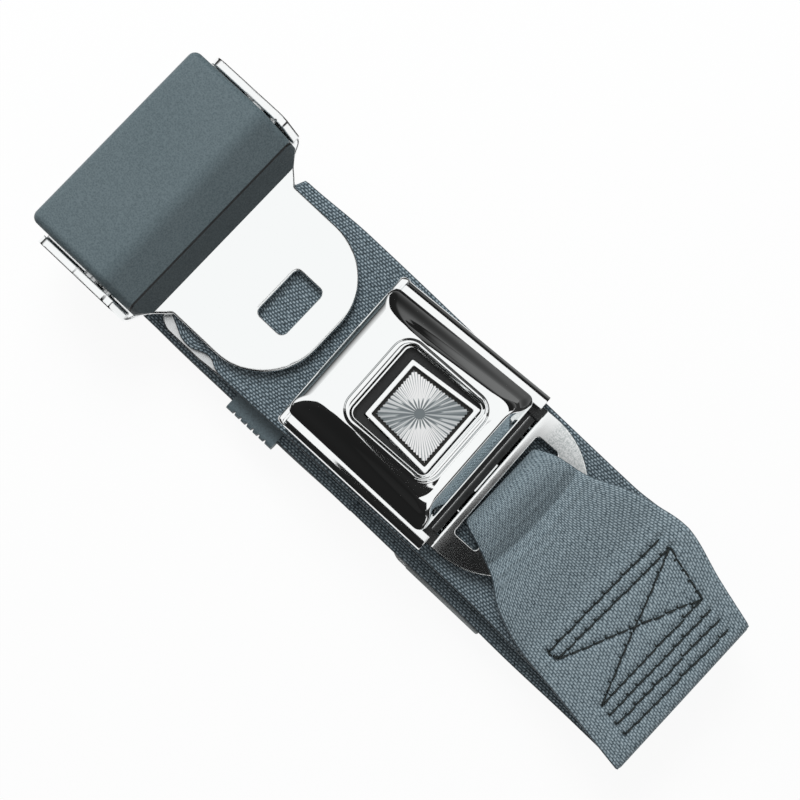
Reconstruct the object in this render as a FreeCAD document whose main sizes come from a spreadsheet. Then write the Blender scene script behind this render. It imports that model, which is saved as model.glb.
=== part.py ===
import FreeCAD, Part
import math
import os

# A push-button lap belt, folded into a flat stack as it is sold and stored.
# Millimetres. X runs along the belt, from the adjuster to the sewn fold; Z is up.
# The stack lies on Z = 0, and the origin is under the middle of it.

Vector = FreeCAD.Vector

doc = FreeCAD.newDocument("lap_belt")
sheet = doc.addObject("Spreadsheet::Sheet", "Sizes")

# Every size that can be set by itself, with what it is
DIMENSIONS = [
    ("web_width", 48.8, "webbing, edge to edge"),
    ("web_thick", 1.2, "webbing, face to face"),
    ("layer_gap", 0.12, "air between two runs that lie on each other"),
    ("soft_gap", 0.3, "air between webbing and hard parts that lift off it"),
    ("fold_front", 99.5, "X of the outside of the sewn fold"),
    ("fold_inset", 4.0, "how far the hidden folds stay inside the sewn one"),
    ("stack_side", -3.0, "Y of the middle of the lower runs"),
    ("top_run_side", 1.1, "Y of the middle of the run under the buckle"),
    ("fold_side", -4.9, "Y of the middle of the sewn fold"),
    ("sewn_width", 47.8, "sewn fold, puckered by its stitches"),
    ("sewn_shoulder_width", 50.2, "sewn strap where it leaves the tang"),
    ("sewn_start", 64.0, "X where the strap is back at its full width"),
    ("lap_length", 45.0, "webbing sewn back on itself at an anchor"),
    ("tail_length", 100.0, "loose end of the adjuster's webbing"),
    ("anchor_thick", 2.5, "anchor plate, steel"),
    ("anchor_length", 62.0, "anchor plate, end to end"),
    ("anchor_width", 50.4, "anchor plate across its slot"),
    ("anchor_tip_width", 43.0, "anchor plate across its bolt end"),
    ("anchor_slot_length", 41.0, "anchor slot, across the belt"),
    ("anchor_slot_width", 8.0, "anchor slot, along the belt"),
    ("anchor_bar", 6.0, "steel between the anchor slot and the edge"),
    ("anchor_web_width", 39.0, "webbing tucked to pass an anchor slot"),
    ("bolt_hole", 11.9, "hole for a 7/16 inch anchor bolt"),
    ("bolt_setback", 15.5, "bolt hole centre to the plate's tip"),
    ("buckle_anchor_x", -62.2, "X of the bar of the buckle's anchor plate"),
    ("buckle_anchor_side", -0.9, "Y of the buckle's anchor plate"),
    ("lap_anchor_x", 20.0, "X of the bar of the other anchor plate"),
    ("keeper_wall", 1.0, "keeper, flat walls"),
    ("keeper_end", 2.2, "keeper, end walls"),
    ("keeper_length", 15.5, "keeper, along the belt"),
    ("keeper_x", -33.9, "X of the keeper's rear face"),
    ("keeper_gap", 0.2, "air between the keeper and the webbing"),
    ("keeper_slack", 0.5, "air at each edge of the webbing in the keeper"),
    ("tooth_pitch", 2.1, "serrations on the keeper's ends"),
    ("tooth_depth", 0.8, "depth of a serration"),
    ("tab_length", 25.0, "bare sewn tab, along the belt"),
    ("tab_x", 27.0, "X of the tab's rear end"),
    ("tab_out", 1.0, "how far the tab stands out of the webbing's edge"),
    ("tab_thick", 0.3, "bare tab"),
    ("adjuster_rear", -99.5, "X of the adjuster cover's rear face"),
    ("plate_thick", 2.2, "tongue plate, steel"),
    ("frame_gap", 0.8, "air between the cover and each flange"),
    ("frame_inset", 4.1, "flanges' rear end inside the cover"),
    ("flange_setback", 1.5, "flanges' front end behind the cover's seam"),
    ("flange_height", 10.2, "flanges, over the plate's lower face"),
    ("shoulder_length", 8.3, "plate from the flanges to the neck"),
    ("neck_width", 48.0, "plate where the tongue begins"),
    ("tongue_width", 44.2, "tongue that enters the buckle"),
    ("tongue_length", 33.3, "tongue from the neck to its tip"),
    ("tongue_corner", 17.8, "round of the tongue's tip corners"),
    ("tongue_round", 0.5, "round of the tongue's upper edges"),
    ("hole_across", 15.2, "latch hole, across the belt"),
    ("hole_along", 9.2, "latch hole, along the belt"),
    ("hole_setback", 13.0, "latch hole centre to the tip"),
    ("window_slack", 1.3, "adjuster window beyond each edge of the webbing"),
    ("window_beyond", 5.5, "webbing window's front edge beyond the lock bar's middle"),
    ("bar_setback", 1.3, "rear bar's back edge inside the flanges' ends"),
    ("rear_bar", 5.2, "steel behind the webbing window"),
    ("cover_length", 33.0, "adjuster cover from its rear face to its front seam"),
    ("cover_slack", 3.1, "inside of the cover beyond each edge of the webbing"),
    ("cover_lip", 4.0, "cover's front lip before the seam"),
    ("cover_lip_height", 5.8, "cover's front lip over the plate"),
    ("cover_crest", 8.5, "cover's crest behind the seam"),
    ("cover_height", 12.4, "adjuster cover over the plate"),
    ("cover_wall", 1.8, "adjuster cover, moulded wall"),
    ("cover_seat", 0.15, "air under the cover's rim"),
    ("cover_round", 2.2, "round of the cover's side edges"),
    ("lock_bar_size", 6.0, "lock bar, across its knurl"),
    ("lock_bar_tenon", 4.4, "lock bar, ends in the flange slots"),
    ("lock_bar_setback", 11.0, "lock bar's middle behind the flanges' front end"),
    ("lock_bar_rise", 4.85, "lock bar's middle over the plate's top face"),
    ("lock_bar_travel", 3.0, "how far the lock bar slides"),
    ("base_thick", 1.6, "buckle frame, steel"),
    ("buckle_x", 1.75, "X of the buckle's middle"),
    ("buckle_side", 1.0, "Y of the buckle's middle"),
    ("buckle_yaw", 2.2, "buckle turned on the belt, degrees"),
    ("buckle_length", 47.8, "buckle, front lip to rear"),
    ("buckle_front_width", 47.9, "buckle across its mouth"),
    ("buckle_rear_width", 50.1, "buckle across its rear"),
    ("rail_height", 8.4, "buckle rails over the frame's lower face"),
    ("rail_lip", 4.2, "rails folded in over the cover"),
    ("dome_height", 15.5, "cover over the frame's lower face, under the bezel"),
    ("bezel_rise", 0.95, "bezel over the dome"),
    ("shell_thick", 0.9, "buckle cover, steel"),
    ("brim_gap", 0.05, "air between the cover's brim and the rails' lips"),
    ("bezel_along", 29.8, "bezel, along the belt"),
    ("bezel_across", 27.2, "bezel, across the belt"),
    ("bezel_slope", 0.6, "bezel's sloped outside"),
    ("bezel_step", 0.5, "drop from the bezel to the ledge inside it"),
    ("bezel_ledge", 0.8, "ledge inside the bezel"),
    ("opening_along", 23.8, "opening in the bezel, along the belt"),
    ("opening_across", 22.4, "opening in the bezel, across the belt"),
    ("opening_corner", 1.6, "opening's corner radius, clear of the button's corners"),
    ("bezel_shift", 1.2, "bezel's middle behind the buckle's middle"),
    ("button_shift", 2.65, "button's middle behind the buckle's middle"),
    ("mouth_height", 4.7, "mouth between the frame and the front lip"),
    ("well_margin", 0.3, "button guide outside the bezel above it"),
    ("well_drop", 3.1, "button guide under the bezel's rim"),
    ("button_front_width", 17.7, "button across its front edge"),
    ("button_rear_width", 20.7, "button across its rear edge"),
    ("button_length", 20.6, "button, along the belt"),
    ("button_drop", 1.5, "button's rim under the bezel's rim"),
    ("button_wall", 1.1, "button's rim and skirt"),
    ("button_travel", 2.6, "how far the button goes down"),
    ("insert_thick", 0.5, "bright plate in the button"),
    ("insert_drop", 0.6, "bright plate under the button's rim"),
    ("insert_gap", 0.75, "air around the bright plate"),
    ("pivot_x", 3.0, "latch pin behind the buckle's middle"),
    ("pivot_height", 7.4, "latch pin over the frame's lower face"),
    ("pin_size", 2.4, "latch pin"),
    ("pin_fit", 0.05, "latch pin's radial clearance"),
    ("boss_size", 4.4, "latch plate around its pin"),
    ("lug_inside", 16.2, "frame lugs that carry the pin, from the middle"),
    ("lug_height", 9.5, "frame lugs over the frame's lower face"),
    ("latch_thick", 2.0, "latch plate"),
    ("latch_drop", 0.2, "latch plate's top face under the pin's axis"),
    ("latch_width", 25.0, "latch plate, across the buckle"),
    ("latch_reach", 9.4, "latch nose before the pin"),
    ("latch_arm", 9.5, "latch arms behind the pin"),
    ("nose_along", 2.4, "latch nose, along the belt"),
    ("nose_across", 13.6, "latch nose, across the belt"),
    ("nose_clear", 0.8, "latch nose over the frame's floor"),
    ("ejector_width", 8.4, "ejector head"),
    ("ejector_travel", 7.7, "how far the tongue pushes the ejector"),
    ("ejector_rod", 2.0, "ejector's spring rod"),
    ("stop_x", 18.5, "ejector's stop behind the buckle's middle"),
    ("tang_radius", 22.4, "round end of the tang"),
    ("tang_centre", 28.4, "tang's centre behind the buckle's middle"),
    ("tang_slot_along", 7.2, "tang slot, along the belt"),
    ("tang_slot_across", 32.0, "tang slot, across the belt"),
    ("tang_slot_x", 27.6, "tang slot's front edge behind the middle"),
    ("tang_web_width", 29.2, "webbing over the bar behind the tang slot"),
    ("tang_web_front", 23.4, "webbing bunched where it comes up through the tang slot"),
    ("guide_length", 5.1, "rear guides' blocks, along the belt"),
    ("sill_along", 2.6, "rear guides' sill, along the belt"),
    ("sill_height", 1.9, "rear guides' sill"),
    ("guide_sill_setback", 1.1, "rear guides' sill before the frame's rear end"),
    ("ejector_thick", 2.4, "ejector head"),
    ("well_depth", 2.15, "button guide"),
    ("cover_pin_size", 2.2, "pins that hold the cover to the flanges"),
    ("bezel_corner", 5.4, "bezel's outer corner radius"),
]

# Sizes that follow from others; a stack of levels from the floor up
FOLLOWING = [
    ("lap_anchor_z", "=web_thick + layer_gap"),
    ("over_bar_z", "=lap_anchor_z + anchor_thick + layer_gap"),
    ("second_run_z", "=over_bar_z + web_thick + layer_gap"),
    ("keeper_z", "=second_run_z + web_thick + keeper_gap"),
    ("first_run_z", "=keeper_z + keeper_wall + keeper_gap"),
    ("tail_z", "=first_run_z + web_thick + layer_gap"),
    ("keeper_top_z", "=tail_z + web_thick + keeper_gap"),
    ("buckle_anchor_z", "=keeper_top_z + keeper_wall + keeper_gap"),
    ("return_lap_z", "=buckle_anchor_z + anchor_thick + layer_gap"),
    ("top_run_z", "=return_lap_z + web_thick + layer_gap"),
    ("hardware_z", "=top_run_z + web_thick + soft_gap"),
    ("under_lap_z", "=top_run_z + web_thick + layer_gap"),
    ("sewn_top_z", "=under_lap_z + web_thick + layer_gap"),
    ("tang_rise", "=under_lap_z + web_thick + soft_gap - hardware_z"),
    ("over_tang_z", "=hardware_z + tang_rise + base_thick + soft_gap"),
    ("plate_top_z", "=hardware_z + plate_thick"),
    ("load_web_z", "=plate_top_z + soft_gap"),
    ("tail_exit_z", "=hardware_z - soft_gap - web_thick"),
    ("lock_bar_z", "=plate_top_z + lock_bar_rise"),
    ("cover_width", "=web_width + 2 * cover_slack + 2 * cover_wall"),
    ("frame_width", "=cover_width + 2 * frame_gap + 2 * plate_thick"),
    ("window_across", "=web_width + 2 * window_slack"),
    ("frame_rear", "=adjuster_rear + frame_inset"),
    ("flange_length", "=cover_length - frame_inset - flange_setback"),
    ("flange_front", "=frame_rear + flange_length"),
    ("neck_x", "=flange_front + shoulder_length"),
    ("tip_x", "=neck_x + tongue_length"),
    ("hole_x", "=tip_x - hole_setback"),
    ("lock_bar_x", "=flange_front - lock_bar_setback"),
    ("window_along", "=lock_bar_x + window_beyond - frame_rear - bar_setback - rear_bar"),
    ("rear_bend_drop", "=load_web_z - first_run_z"),
    ("rear_bend_x", "=adjuster_rear + 0.2 + web_thick / 2 + rear_bend_drop / 2"),
]


def fill_sheet():
    """Writes the named sizes into the sheet, one row each."""
    row = 0
    for name, number, meaning in DIMENSIONS:
        row += 1
        sheet.set(f"A{row}", name)
        sheet.set(f"B{row}", str(number))
        sheet.set(f"C{row}", meaning)
        sheet.setAlias(f"B{row}", name)
    for name, formula in FOLLOWING:
        row += 1
        sheet.set(f"A{row}", name)
        sheet.setAlias(f"B{row}", name)
        sheet.set(f"B{row}", formula)
    doc.recompute()


fill_sheet()


def size(name):
    """A named size, read from the sheet."""
    return float(sheet.get(name))


def cell(name):
    """The expression that binds a property to a named size."""
    return f"Sizes.{name}"


# Outlines: corner points (x, y, radius), turned into lines and tangent arcs


def outline(corners):
    """Edges of a closed outline whose corners are rounded where they give a radius."""
    count = len(corners)
    starts, ends, arcs = [], [], []
    for i, corner in enumerate(corners):
        here = Vector(corner[0], corner[1], 0)
        before = Vector(corners[i - 1][0], corners[i - 1][1], 0)
        after = Vector(corners[(i + 1) % count][0], corners[(i + 1) % count][1], 0)
        radius = corner[2] if len(corner) > 2 else 0
        back = (before - here).normalize()
        ahead = (after - here).normalize()
        angle = back.getAngle(ahead)
        if radius <= 0 or angle > math.pi - 1e-6:
            starts.append(here)
            ends.append(here)
            arcs.append(None)
            continue
        reach = radius / math.tan(angle / 2)
        middle = here + (back + ahead).normalize() * (radius / math.sin(angle / 2))
        centre_to_corner = (here - middle).normalize()
        starts.append(here + back * reach)
        ends.append(here + ahead * reach)
        arcs.append(middle + centre_to_corner * radius)
    edges = []
    for i in range(count):
        if arcs[i] is not None:
            edges.append(Part.Arc(starts[i], arcs[i], ends[i]))
        follow = starts[(i + 1) % count]
        if (follow - ends[i]).Length > 1e-6:
            edges.append(Part.LineSegment(ends[i], follow))
    return edges


def rectangle(x_low, x_high, y_low, y_high, radius=0.0):
    return [
        (x_low, y_low, radius),
        (x_high, y_low, radius),
        (x_high, y_high, radius),
        (x_low, y_high, radius),
    ]


def trapezoid(x_front, x_rear, half_front, half_rear, radius=0.0):
    """A plan outline that is symmetric about the X axis and may flare to the rear."""
    return [
        (x_front, -half_front, radius),
        (x_rear, -half_rear, radius),
        (x_rear, half_rear, radius),
        (x_front, half_front, radius),
    ]


def band(route, thick):
    """The outline of a band of webbing seen edge-on, along a route of (x, z, radius) points."""
    sides = []
    count = len(route)
    for side in (1, -1):
        points = []
        for i, point in enumerate(route):
            here = Vector(point[0], point[1], 0)
            into = here - Vector(route[i - 1][0], route[i - 1][1], 0) if i > 0 else None
            away = Vector(route[i + 1][0], route[i + 1][1], 0) - here if i < count - 1 else None
            into = (into or away).normalize()
            away = (away or into).normalize()
            normal_in = Vector(-into.y, into.x, 0) * side
            normal_out = Vector(-away.y, away.x, 0) * side
            miter = (normal_in + normal_out).normalize()
            place = here + miter * (thick / 2 / miter.dot(normal_in))
            turn = into.x * away.y - into.y * away.x
            radius = point[2] if len(point) > 2 else 0
            if radius > 0:
                radius = radius - thick / 2 if turn * side > 0 else radius + thick / 2
            points.append((place.x, place.y, radius))
        sides.append(points)
    return sides[0] + sides[1][::-1]


# Building blocks: a body, its sketches, and what is made of them


def new_body(label):
    body = doc.addObject("PartDesign::Body", label)
    body.Label = label
    return body


def sketch(body, role, loops, height=None, name="outline"):
    """A sketch on one of the body's own planes. Each loop is a list of corners or a tuple of edges."""
    item = body.newObject("Sketcher::SketchObject", name)
    plane = [f for f in body.Origin.OriginFeatures if f.Role == role][0]
    item.AttachmentSupport = [(plane, "")]
    item.MapMode = "FlatFace"
    if isinstance(height, str):
        item.setExpression(".AttachmentOffset.Base.z", cell(height))
    elif height:
        item.AttachmentOffset = FreeCAD.Placement(Vector(0, 0, height), FreeCAD.Rotation())
    for loop in loops:
        edges = outline(loop) if isinstance(loop, list) else loop
        for edge in edges:
            item.addGeometry(edge)
    return item


def pad(body, profile, length, symmetric=False):
    feature = body.newObject("PartDesign::Pad", "pad")
    feature.Profile = profile
    bind_length(feature, length)
    if symmetric:
        feature.SideType = "Symmetric"
    profile.Visibility = False
    doc.recompute()
    return feature


def bind_length(feature, length):
    """Sets a feature's length from a number, or from an expression on the sheet."""
    if isinstance(length, str):
        feature.setExpression("Length", length)
    else:
        feature.Length = length


def pocket(body, profile, length=None, symmetric=False, upward=False):
    """A cut; it goes right through where no length is given. The volume has to fall."""
    before = body.Shape.Volume
    feature = body.newObject("PartDesign::Pocket", "pocket")
    feature.Profile = profile
    if length is None:
        feature.Type = "ThroughAll"
        feature.SideType = "Symmetric"
    else:
        bind_length(feature, length)
    if symmetric:
        feature.SideType = "Symmetric"
    feature.Reversed = upward
    doc.recompute()
    if body.Shape.Volume > before - 1e-3:
        raise ValueError(f"a cut in {body.Label} removed nothing")
    return feature


def soften(body, kind, edge_names, amount):
    """Rounds or chamfers named edges of the body as it is so far."""
    base = body.Tip
    feature = body.newObject(f"PartDesign::{kind}", "softened_edges")
    feature.Base = (base, edge_names)
    if kind == "Fillet":
        feature.Radius = amount
    else:
        feature.Size = amount
    doc.recompute()
    return feature


def circle(x, y, radius):
    return [Part.Circle(Vector(x, y, 0), Vector(0, 0, 1), radius)]


def edge_sketch(body, role, edges, height=None, name="outline"):
    """A sketch whose loops are ready edges, such as a circle."""
    return sketch(body, role, [tuple(edges)], height, name)


def place_on_buckle(body):
    """Puts a body that is drawn about the buckle's middle where the buckle lies, with its yaw."""
    turn = FreeCAD.Rotation(Vector(0, 0, 1), size("buckle_yaw"))
    body.Placement = FreeCAD.Placement(Vector(0, 0, 0), turn)
    body.setExpression(".Placement.Base.x", cell("buckle_x"))
    body.setExpression(".Placement.Base.y", cell("buckle_side"))
    body.setExpression(".Placement.Base.z", cell("hardware_z"))
    return body


# Webbing: bands padded across the belt, then trimmed to their outline from above


def web_body(label, route, side, width):
    """A length of webbing: its route edge-on, the Y of its middle, and its width."""
    body = new_body(label)
    profile = sketch(body, "XZ_Plane", [band(route, size("web_thick"))], -side)
    pad(body, profile, width, symmetric=True)
    return body


def trim(body, kept, z_low, z_high):
    """Cuts away what lies outside a plan outline, between two heights."""
    reach = 2 * size("fold_front")
    around = rectangle(-reach, reach, -2 * size("web_width"), 2 * size("web_width"))
    profile = sketch(body, "XY_Plane", [around, kept], z_low, "trim")
    pocket(body, profile, z_high - z_low, upward=True)


def make_lap_web():
    """The adjuster's webbing in the stack: three runs, two folds, and its loop on an anchor."""
    half = size("web_thick") / 2
    right = size("fold_front") - size("fold_inset") - half
    left = size("adjuster_rear") + size("fold_inset") + half
    first = size("first_run_z") + half
    second = size("second_run_z") + half
    floor = half
    over = size("over_bar_z") + half
    lap = size("web_thick") * 1.5 + size("layer_gap")
    bar = size("lap_anchor_x")
    up = bar + size("anchor_bar") + size("anchor_slot_width") * 0.32
    top_fold = (first - second) / 2
    left_fold = (second - floor) / 2
    slope = 6.0
    lap_end = bar - slope - size("lap_length")
    route = [
        (size("rear_bend_x"), first),
        (right, first, top_fold * 0.999),
        (right, second, top_fold * 0.999),
        (left, second, left_fold * 0.999),
        (left, floor, left_fold * 0.999),
        (up, floor, 1.5),
        (up, over, 1.5),
        (bar - 1.0, over, 3.0),
        (bar - slope, lap, 3.0),
        (lap_end, lap),
    ]
    body = web_body("lap_web", route, size("stack_side"), cell("web_width"))
    side = size("stack_side")
    tucked = size("anchor_web_width") / 2
    full = size("web_width") / 2 + 1.0
    low = -1.0
    high = size("over_bar_z") + size("web_thick") + size("layer_gap") / 2
    tuck_start = bar - 14.0
    reach = 1.5 * size("fold_front")
    kept = [
        (-reach, side - full),
        (tuck_start, side - full, 8.0),
        (bar, side - tucked, 8.0),
        (reach, side - tucked),
        (reach, side + tucked),
        (bar, side + tucked, 8.0),
        (tuck_start, side + full, 8.0),
        (-reach, side + full),
    ]
    trim(body, kept, low, high)
    return body


def make_web_tail():
    """The loose end, lying on the first run and held by the keeper."""
    centre = size("tail_z") + size("web_thick") / 2
    start = size("rear_bend_x")
    route = [(start, centre), (start + size("tail_length"), centre)]
    body = web_body("web_tail", route, size("stack_side"), cell("web_width"))
    hem = 12.0
    hem_x = start + size("tail_length")
    profile = sketch(
        body,
        "XZ_Plane",
        [rectangle(hem_x - hem, hem_x, centre + size("web_thick") / 2, centre + size("web_thick"))],
        -size("stack_side"),
        "hem",
    )
    pad(body, profile, cell("web_width"), symmetric=True)
    return body


def make_buckle_web():
    """The buckle's webbing: sewn top strap, fold, the run under the buckle, and its anchor loop."""
    half = size("web_thick") / 2
    top = size("sewn_top_z") + half
    run = size("top_run_z") + half
    back = size("return_lap_z") + half
    under = size("buckle_anchor_z") - size("layer_gap") - half
    fold = (top - run) / 2
    right = size("fold_front") - half
    rear_edge = size("buckle_anchor_x")
    left = rear_edge - size("layer_gap") - half
    slot = rear_edge + size("anchor_bar") + size("anchor_slot_width") * 0.3
    route = [
        (size("sewn_start"), top),
        (right, top, fold * 0.999),
        (right, run, fold * 0.999),
        (left, run, 2.0),
        (left, under, 1.5),
        (slot, under, 1.5),
        (slot, back, 1.2),
        (slot + size("lap_length"), back),
    ]
    body = web_body("buckle_web", route, size("fold_side") / 3, 1.3 * size("web_width"))
    bend = size("web_thick") * 2.5
    run_low = size("top_run_z") - size("layer_gap") / 2
    past_slot = rear_edge + size("anchor_bar") + 0.65 * size("anchor_slot_width")
    trim(body, top_run_outline(past_slot, 2 * bend), size("buckle_anchor_z") - 3.0, run_low)
    trim(body, top_run_outline(rear_edge + 0.8, bend), run_low, size("sewn_top_z") + 3.0)
    return body


def top_run_outline(tuck_end, taper):
    """Plan of the run under the buckle and of the sewn fold: tucked up to an X, then its full width."""
    side = size("top_run_side")
    full = size("web_width") / 2
    tucked = size("anchor_web_width") / 2
    anchor = size("buckle_anchor_side")
    rear_edge = size("buckle_anchor_x")
    end = size("fold_front")
    turned = size("sewn_start") + 8.0
    fold = size("fold_side")
    sewn = size("sewn_width") / 2
    shoulder = size("sewn_shoulder_width") / 2
    lean = 1.3
    bend = taper / 2
    return [
        (rear_edge - 8.0, anchor - tucked),
        (tuck_end, anchor - tucked, bend),
        (tuck_end + taper, side - full, bend),
        (turned, side - shoulder, 20.0),
        (end - lean, fold - sewn),
        (end + 3.0, fold - sewn),
        (end + 3.0, fold + sewn),
        (end + lean, fold + sewn),
        (turned, side + shoulder, 20.0),
        (tuck_end + taper, side + full, bend),
        (tuck_end, anchor + tucked, bend),
        (rear_edge - 8.0, anchor + tucked),
    ]


def strap_half_width(x):
    """Half the width of the strap at an X between the tang slot and the sewn part."""
    bunched = size("tang_web_front") / 2
    narrow = size("tang_web_width") / 2
    wide = size("sewn_shoulder_width") / 2
    front = size("buckle_x") + size("tang_slot_x")
    start = front + size("tang_slot_along")
    if x < start:
        share = max((x - front) / size("tang_slot_along"), 0)
        return bunched + (narrow - bunched) * share
    share = min((x - start) / (size("sewn_start") - start), 1)
    return narrow + (wide - narrow) * share


def strap_side(x):
    """Y of the strap's middle between the tang slot and the sewn part."""
    start = size("buckle_x") + size("tang_slot_x") + size("tang_slot_along")
    at_slot = size("buckle_side") + 1.6
    share = min(max((x - start) / (size("sewn_start") - start), 0), 1)
    return at_slot + (size("top_run_side") - at_slot) * share


def make_sewn_lap():
    """The webbing's end, doubled back under the sewn strap."""
    half = size("web_thick") / 2
    centre = size("under_lap_z") + half
    start = size("sewn_start")
    end = size("fold_front") - 3.5
    route = [(start, centre), (end, centre)]
    body = web_body("sewn_lap", route, size("fold_side") / 3, 1.3 * size("web_width"))
    outline_here = top_run_outline(size("buckle_anchor_x"), size("web_thick") * 2.5)
    trim(body, outline_here, size("under_lap_z") - 1.0, size("sewn_top_z") + 1.0)
    return body


def make_tang_loop():
    """The strap's loop round the tang's rear bar, bunched in the slot."""
    half = size("web_thick") / 2
    gap = size("soft_gap")
    top = size("over_tang_z") + half
    sewn = size("sewn_top_z") + half
    under = size("under_lap_z") + half
    slot_front = size("buckle_x") + size("tang_slot_x")
    down = slot_front + gap + half + 0.5
    tang_end = size("buckle_x") + size("tang_centre") + size("tang_radius")
    end = size("sewn_start")
    route = [
        (end, sewn),
        (end - 3.0, sewn, 4.0),
        (tang_end + 2.0, top, 4.0),
        (down, top, 1.6),
        (down, under, 1.6),
        (end, under),
    ]
    body = web_body("tang_loop", route, 0.0, 1.3 * size("web_width"))
    across = size("tang_slot_along")
    stations = [slot_front - 1.0, slot_front + 0.2 * across, slot_front + across]
    stations += [slot_front + 2.2 * across, slot_front + 3.5 * across, end + 1.0]
    low_side = [(x, strap_side(x) - strap_half_width(x), 3.0) for x in stations]
    high_side = [(x, strap_side(x) + strap_half_width(x), 3.0) for x in stations]
    for side in (low_side, high_side):
        side[0] = side[0][:2]
        side[-1] = side[-1][:2]
    trim(body, low_side + high_side[::-1], under - 5.0, top + 5.0)
    return body


def rear_bend_route(outer):
    """A half-round bend that takes a run from the adjuster down to the stack."""
    half = size("web_thick") / 2
    x = size("rear_bend_x")
    if outer:
        high = size("load_web_z") + half
        low = size("first_run_z") + half
    else:
        high = size("tail_exit_z") + half
        low = size("tail_z") + half
    radius = (high - low) / 2
    return [(x, high), (x - radius, high, radius * 0.999), (x - radius, low, radius * 0.999), (x, low)]


def make_rear_bends():
    side = size("stack_side") / 2
    load = web_body("load_web_bend", rear_bend_route(True), side, cell("web_width"))
    tail = web_body("tail_web_bend", rear_bend_route(False), side, cell("web_width"))
    return [load, tail]


def make_adjuster_web():
    """Webbing inside the adjuster: in over the rear bar, round the lock bar, out through the window."""
    half = size("web_thick") / 2
    load = size("load_web_z") + half
    tail = size("tail_exit_z") + half
    reach = size("lock_bar_size") / 2 + size("soft_gap") + half
    over = size("lock_bar_z") + reach
    front = size("lock_bar_x") + reach
    window_x = size("frame_rear") + size("bar_setback") + size("rear_bar")
    route = [
        (size("rear_bend_x"), load),
        (window_x - 1.9, load, 1.4),
        (window_x + 0.9, over, 2.2),
        (front, over, reach),
        (front, tail, 1.5),
        (size("rear_bend_x"), tail),
    ]
    return web_body("adjuster_web", route, 0.0, cell("web_width"))


def make_tab():
    """A bare tab sewn to the lower webbing; its edge shows."""
    body = new_body("bare_tab")
    edge = size("stack_side") - size("web_width") / 2
    x = size("tab_x")
    plan = rectangle(x, x + size("tab_length"), edge - size("tab_out"), edge + size("web_width") / 3, 0.6)
    height = size("first_run_z") - size("layer_gap") - size("tab_thick")
    pad(body, sketch(body, "XY_Plane", [plan], height), cell("tab_thick"))
    return body


# Anchor plates and keeper


def make_anchor(label, x, side, height):
    """An anchor plate: webbing slot at one end, bolt hole at the other, corners rounded."""
    body = new_body(label)
    half = size("anchor_width") / 2
    tip = size("anchor_tip_width") / 2
    long = size("anchor_length")
    plan = [
        (x, side - half, 5.0),
        (x + 0.24 * long, side - half, 14.0),
        (x + long, side - tip, tip * 0.96),
        (x + long, side + tip, tip * 0.96),
        (x + 0.24 * long, side + half, 14.0),
        (x, side + half, 5.0),
    ]
    pad(body, sketch(body, "XY_Plane", [plan], height), cell("anchor_thick"))
    slot_half = size("anchor_slot_length") / 2
    slot_x = x + size("anchor_bar")
    slot = rectangle(slot_x, slot_x + size("anchor_slot_width"), side - slot_half, side + slot_half, 2.5)
    pocket(body, sketch(body, "XY_Plane", [slot], height, "slot"))
    hole = circle(x + long - size("bolt_setback"), side, size("bolt_hole") / 2)
    pocket(body, edge_sketch(body, "XY_Plane", hole, height, "bolt_hole"))
    soften(body, "Chamfer", plate_rim_edges(body.Shape, size("anchor_thick")), 0.3)
    return body


def plate_rim_edges(shape, thick):
    """The long straight edges of a flat plate's outline, on both faces."""
    names = []
    for i, edge in enumerate(shape.Edges):
        flat = edge.BoundBox.ZLength < 1e-4
        if flat and edge.Length > thick * 5 and edge.Curve.TypeId == "Part::GeomLine":
            box = shape.BoundBox
            away = abs(abs(edge.CenterOfMass.y - box.Center.y) - box.YLength / 2)
            if away < 4.0:
                names.append(f"Edge{i + 1}")
    return names


def make_keeper():
    """The moulded keeper that holds the loose end, with serrated ends to grip it by."""
    body = new_body("web_keeper")
    half = size("web_width") / 2 + size("keeper_slack")
    side = size("stack_side")
    low = size("keeper_z")
    high = size("keeper_top_z") + size("keeper_wall")
    outer = half + size("keeper_end")
    section = rectangle(side - outer, side + outer, low, high, 1.2)
    inner = rectangle(side - half, side + half, low + size("keeper_wall"), size("keeper_top_z"), 0.3)
    profile = sketch(body, "YZ_Plane", [section, inner], "keeper_x")
    pad(body, profile, cell("keeper_length"))
    pitch = size("tooth_pitch")
    depth = size("tooth_depth")
    count = int((size("keeper_length") - 2.5) / pitch)
    first = size("keeper_x") + (size("keeper_length") - (count - 1) * pitch) / 2
    notches = []
    for way in (-1, 1):
        edge = side + way * outer
        for i in range(count):
            x = first + i * pitch
            notches.append([
                (x - pitch * 0.3, edge + way * 0.5),
                (x + pitch * 0.3, edge + way * 0.5),
                (x + pitch * 0.12, edge - way * depth),
                (x - pitch * 0.12, edge - way * depth),
            ])
    pocket(body, sketch(body, "XY_Plane", notches, None, "serrations"))
    return body


# The tongue half: plate with flanges, cover, lock bar and its spring


def plate_plan():
    """Plan of the tongue plate before its flanges are added."""
    rear = size("frame_rear")
    front = size("flange_front")
    neck = size("neck_x")
    wide = size("frame_width") / 2
    neck_half = size("neck_width") / 2
    tongue = size("tongue_width") / 2
    tip = size("tip_x")
    half = [
        (rear, wide, 3.0),
        (front + 1.6, wide, 3.2),
        (front + 4.0, neck_half + 3.0, 3.0),
        (neck - 0.4, neck_half - 0.6, 1.5),
        (neck + 0.8, tongue, 0.8),
        (tip, tongue, size("tongue_corner")),
    ]
    notch = size("web_width") / 2 + 1.4
    back = rear + size("bar_setback")
    half = [(back, notch, 0.4), (rear, notch, 0.4)] + half
    mirrored = [(x, -y, radius) for x, y, radius in half]
    return mirrored + half[::-1]


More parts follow.
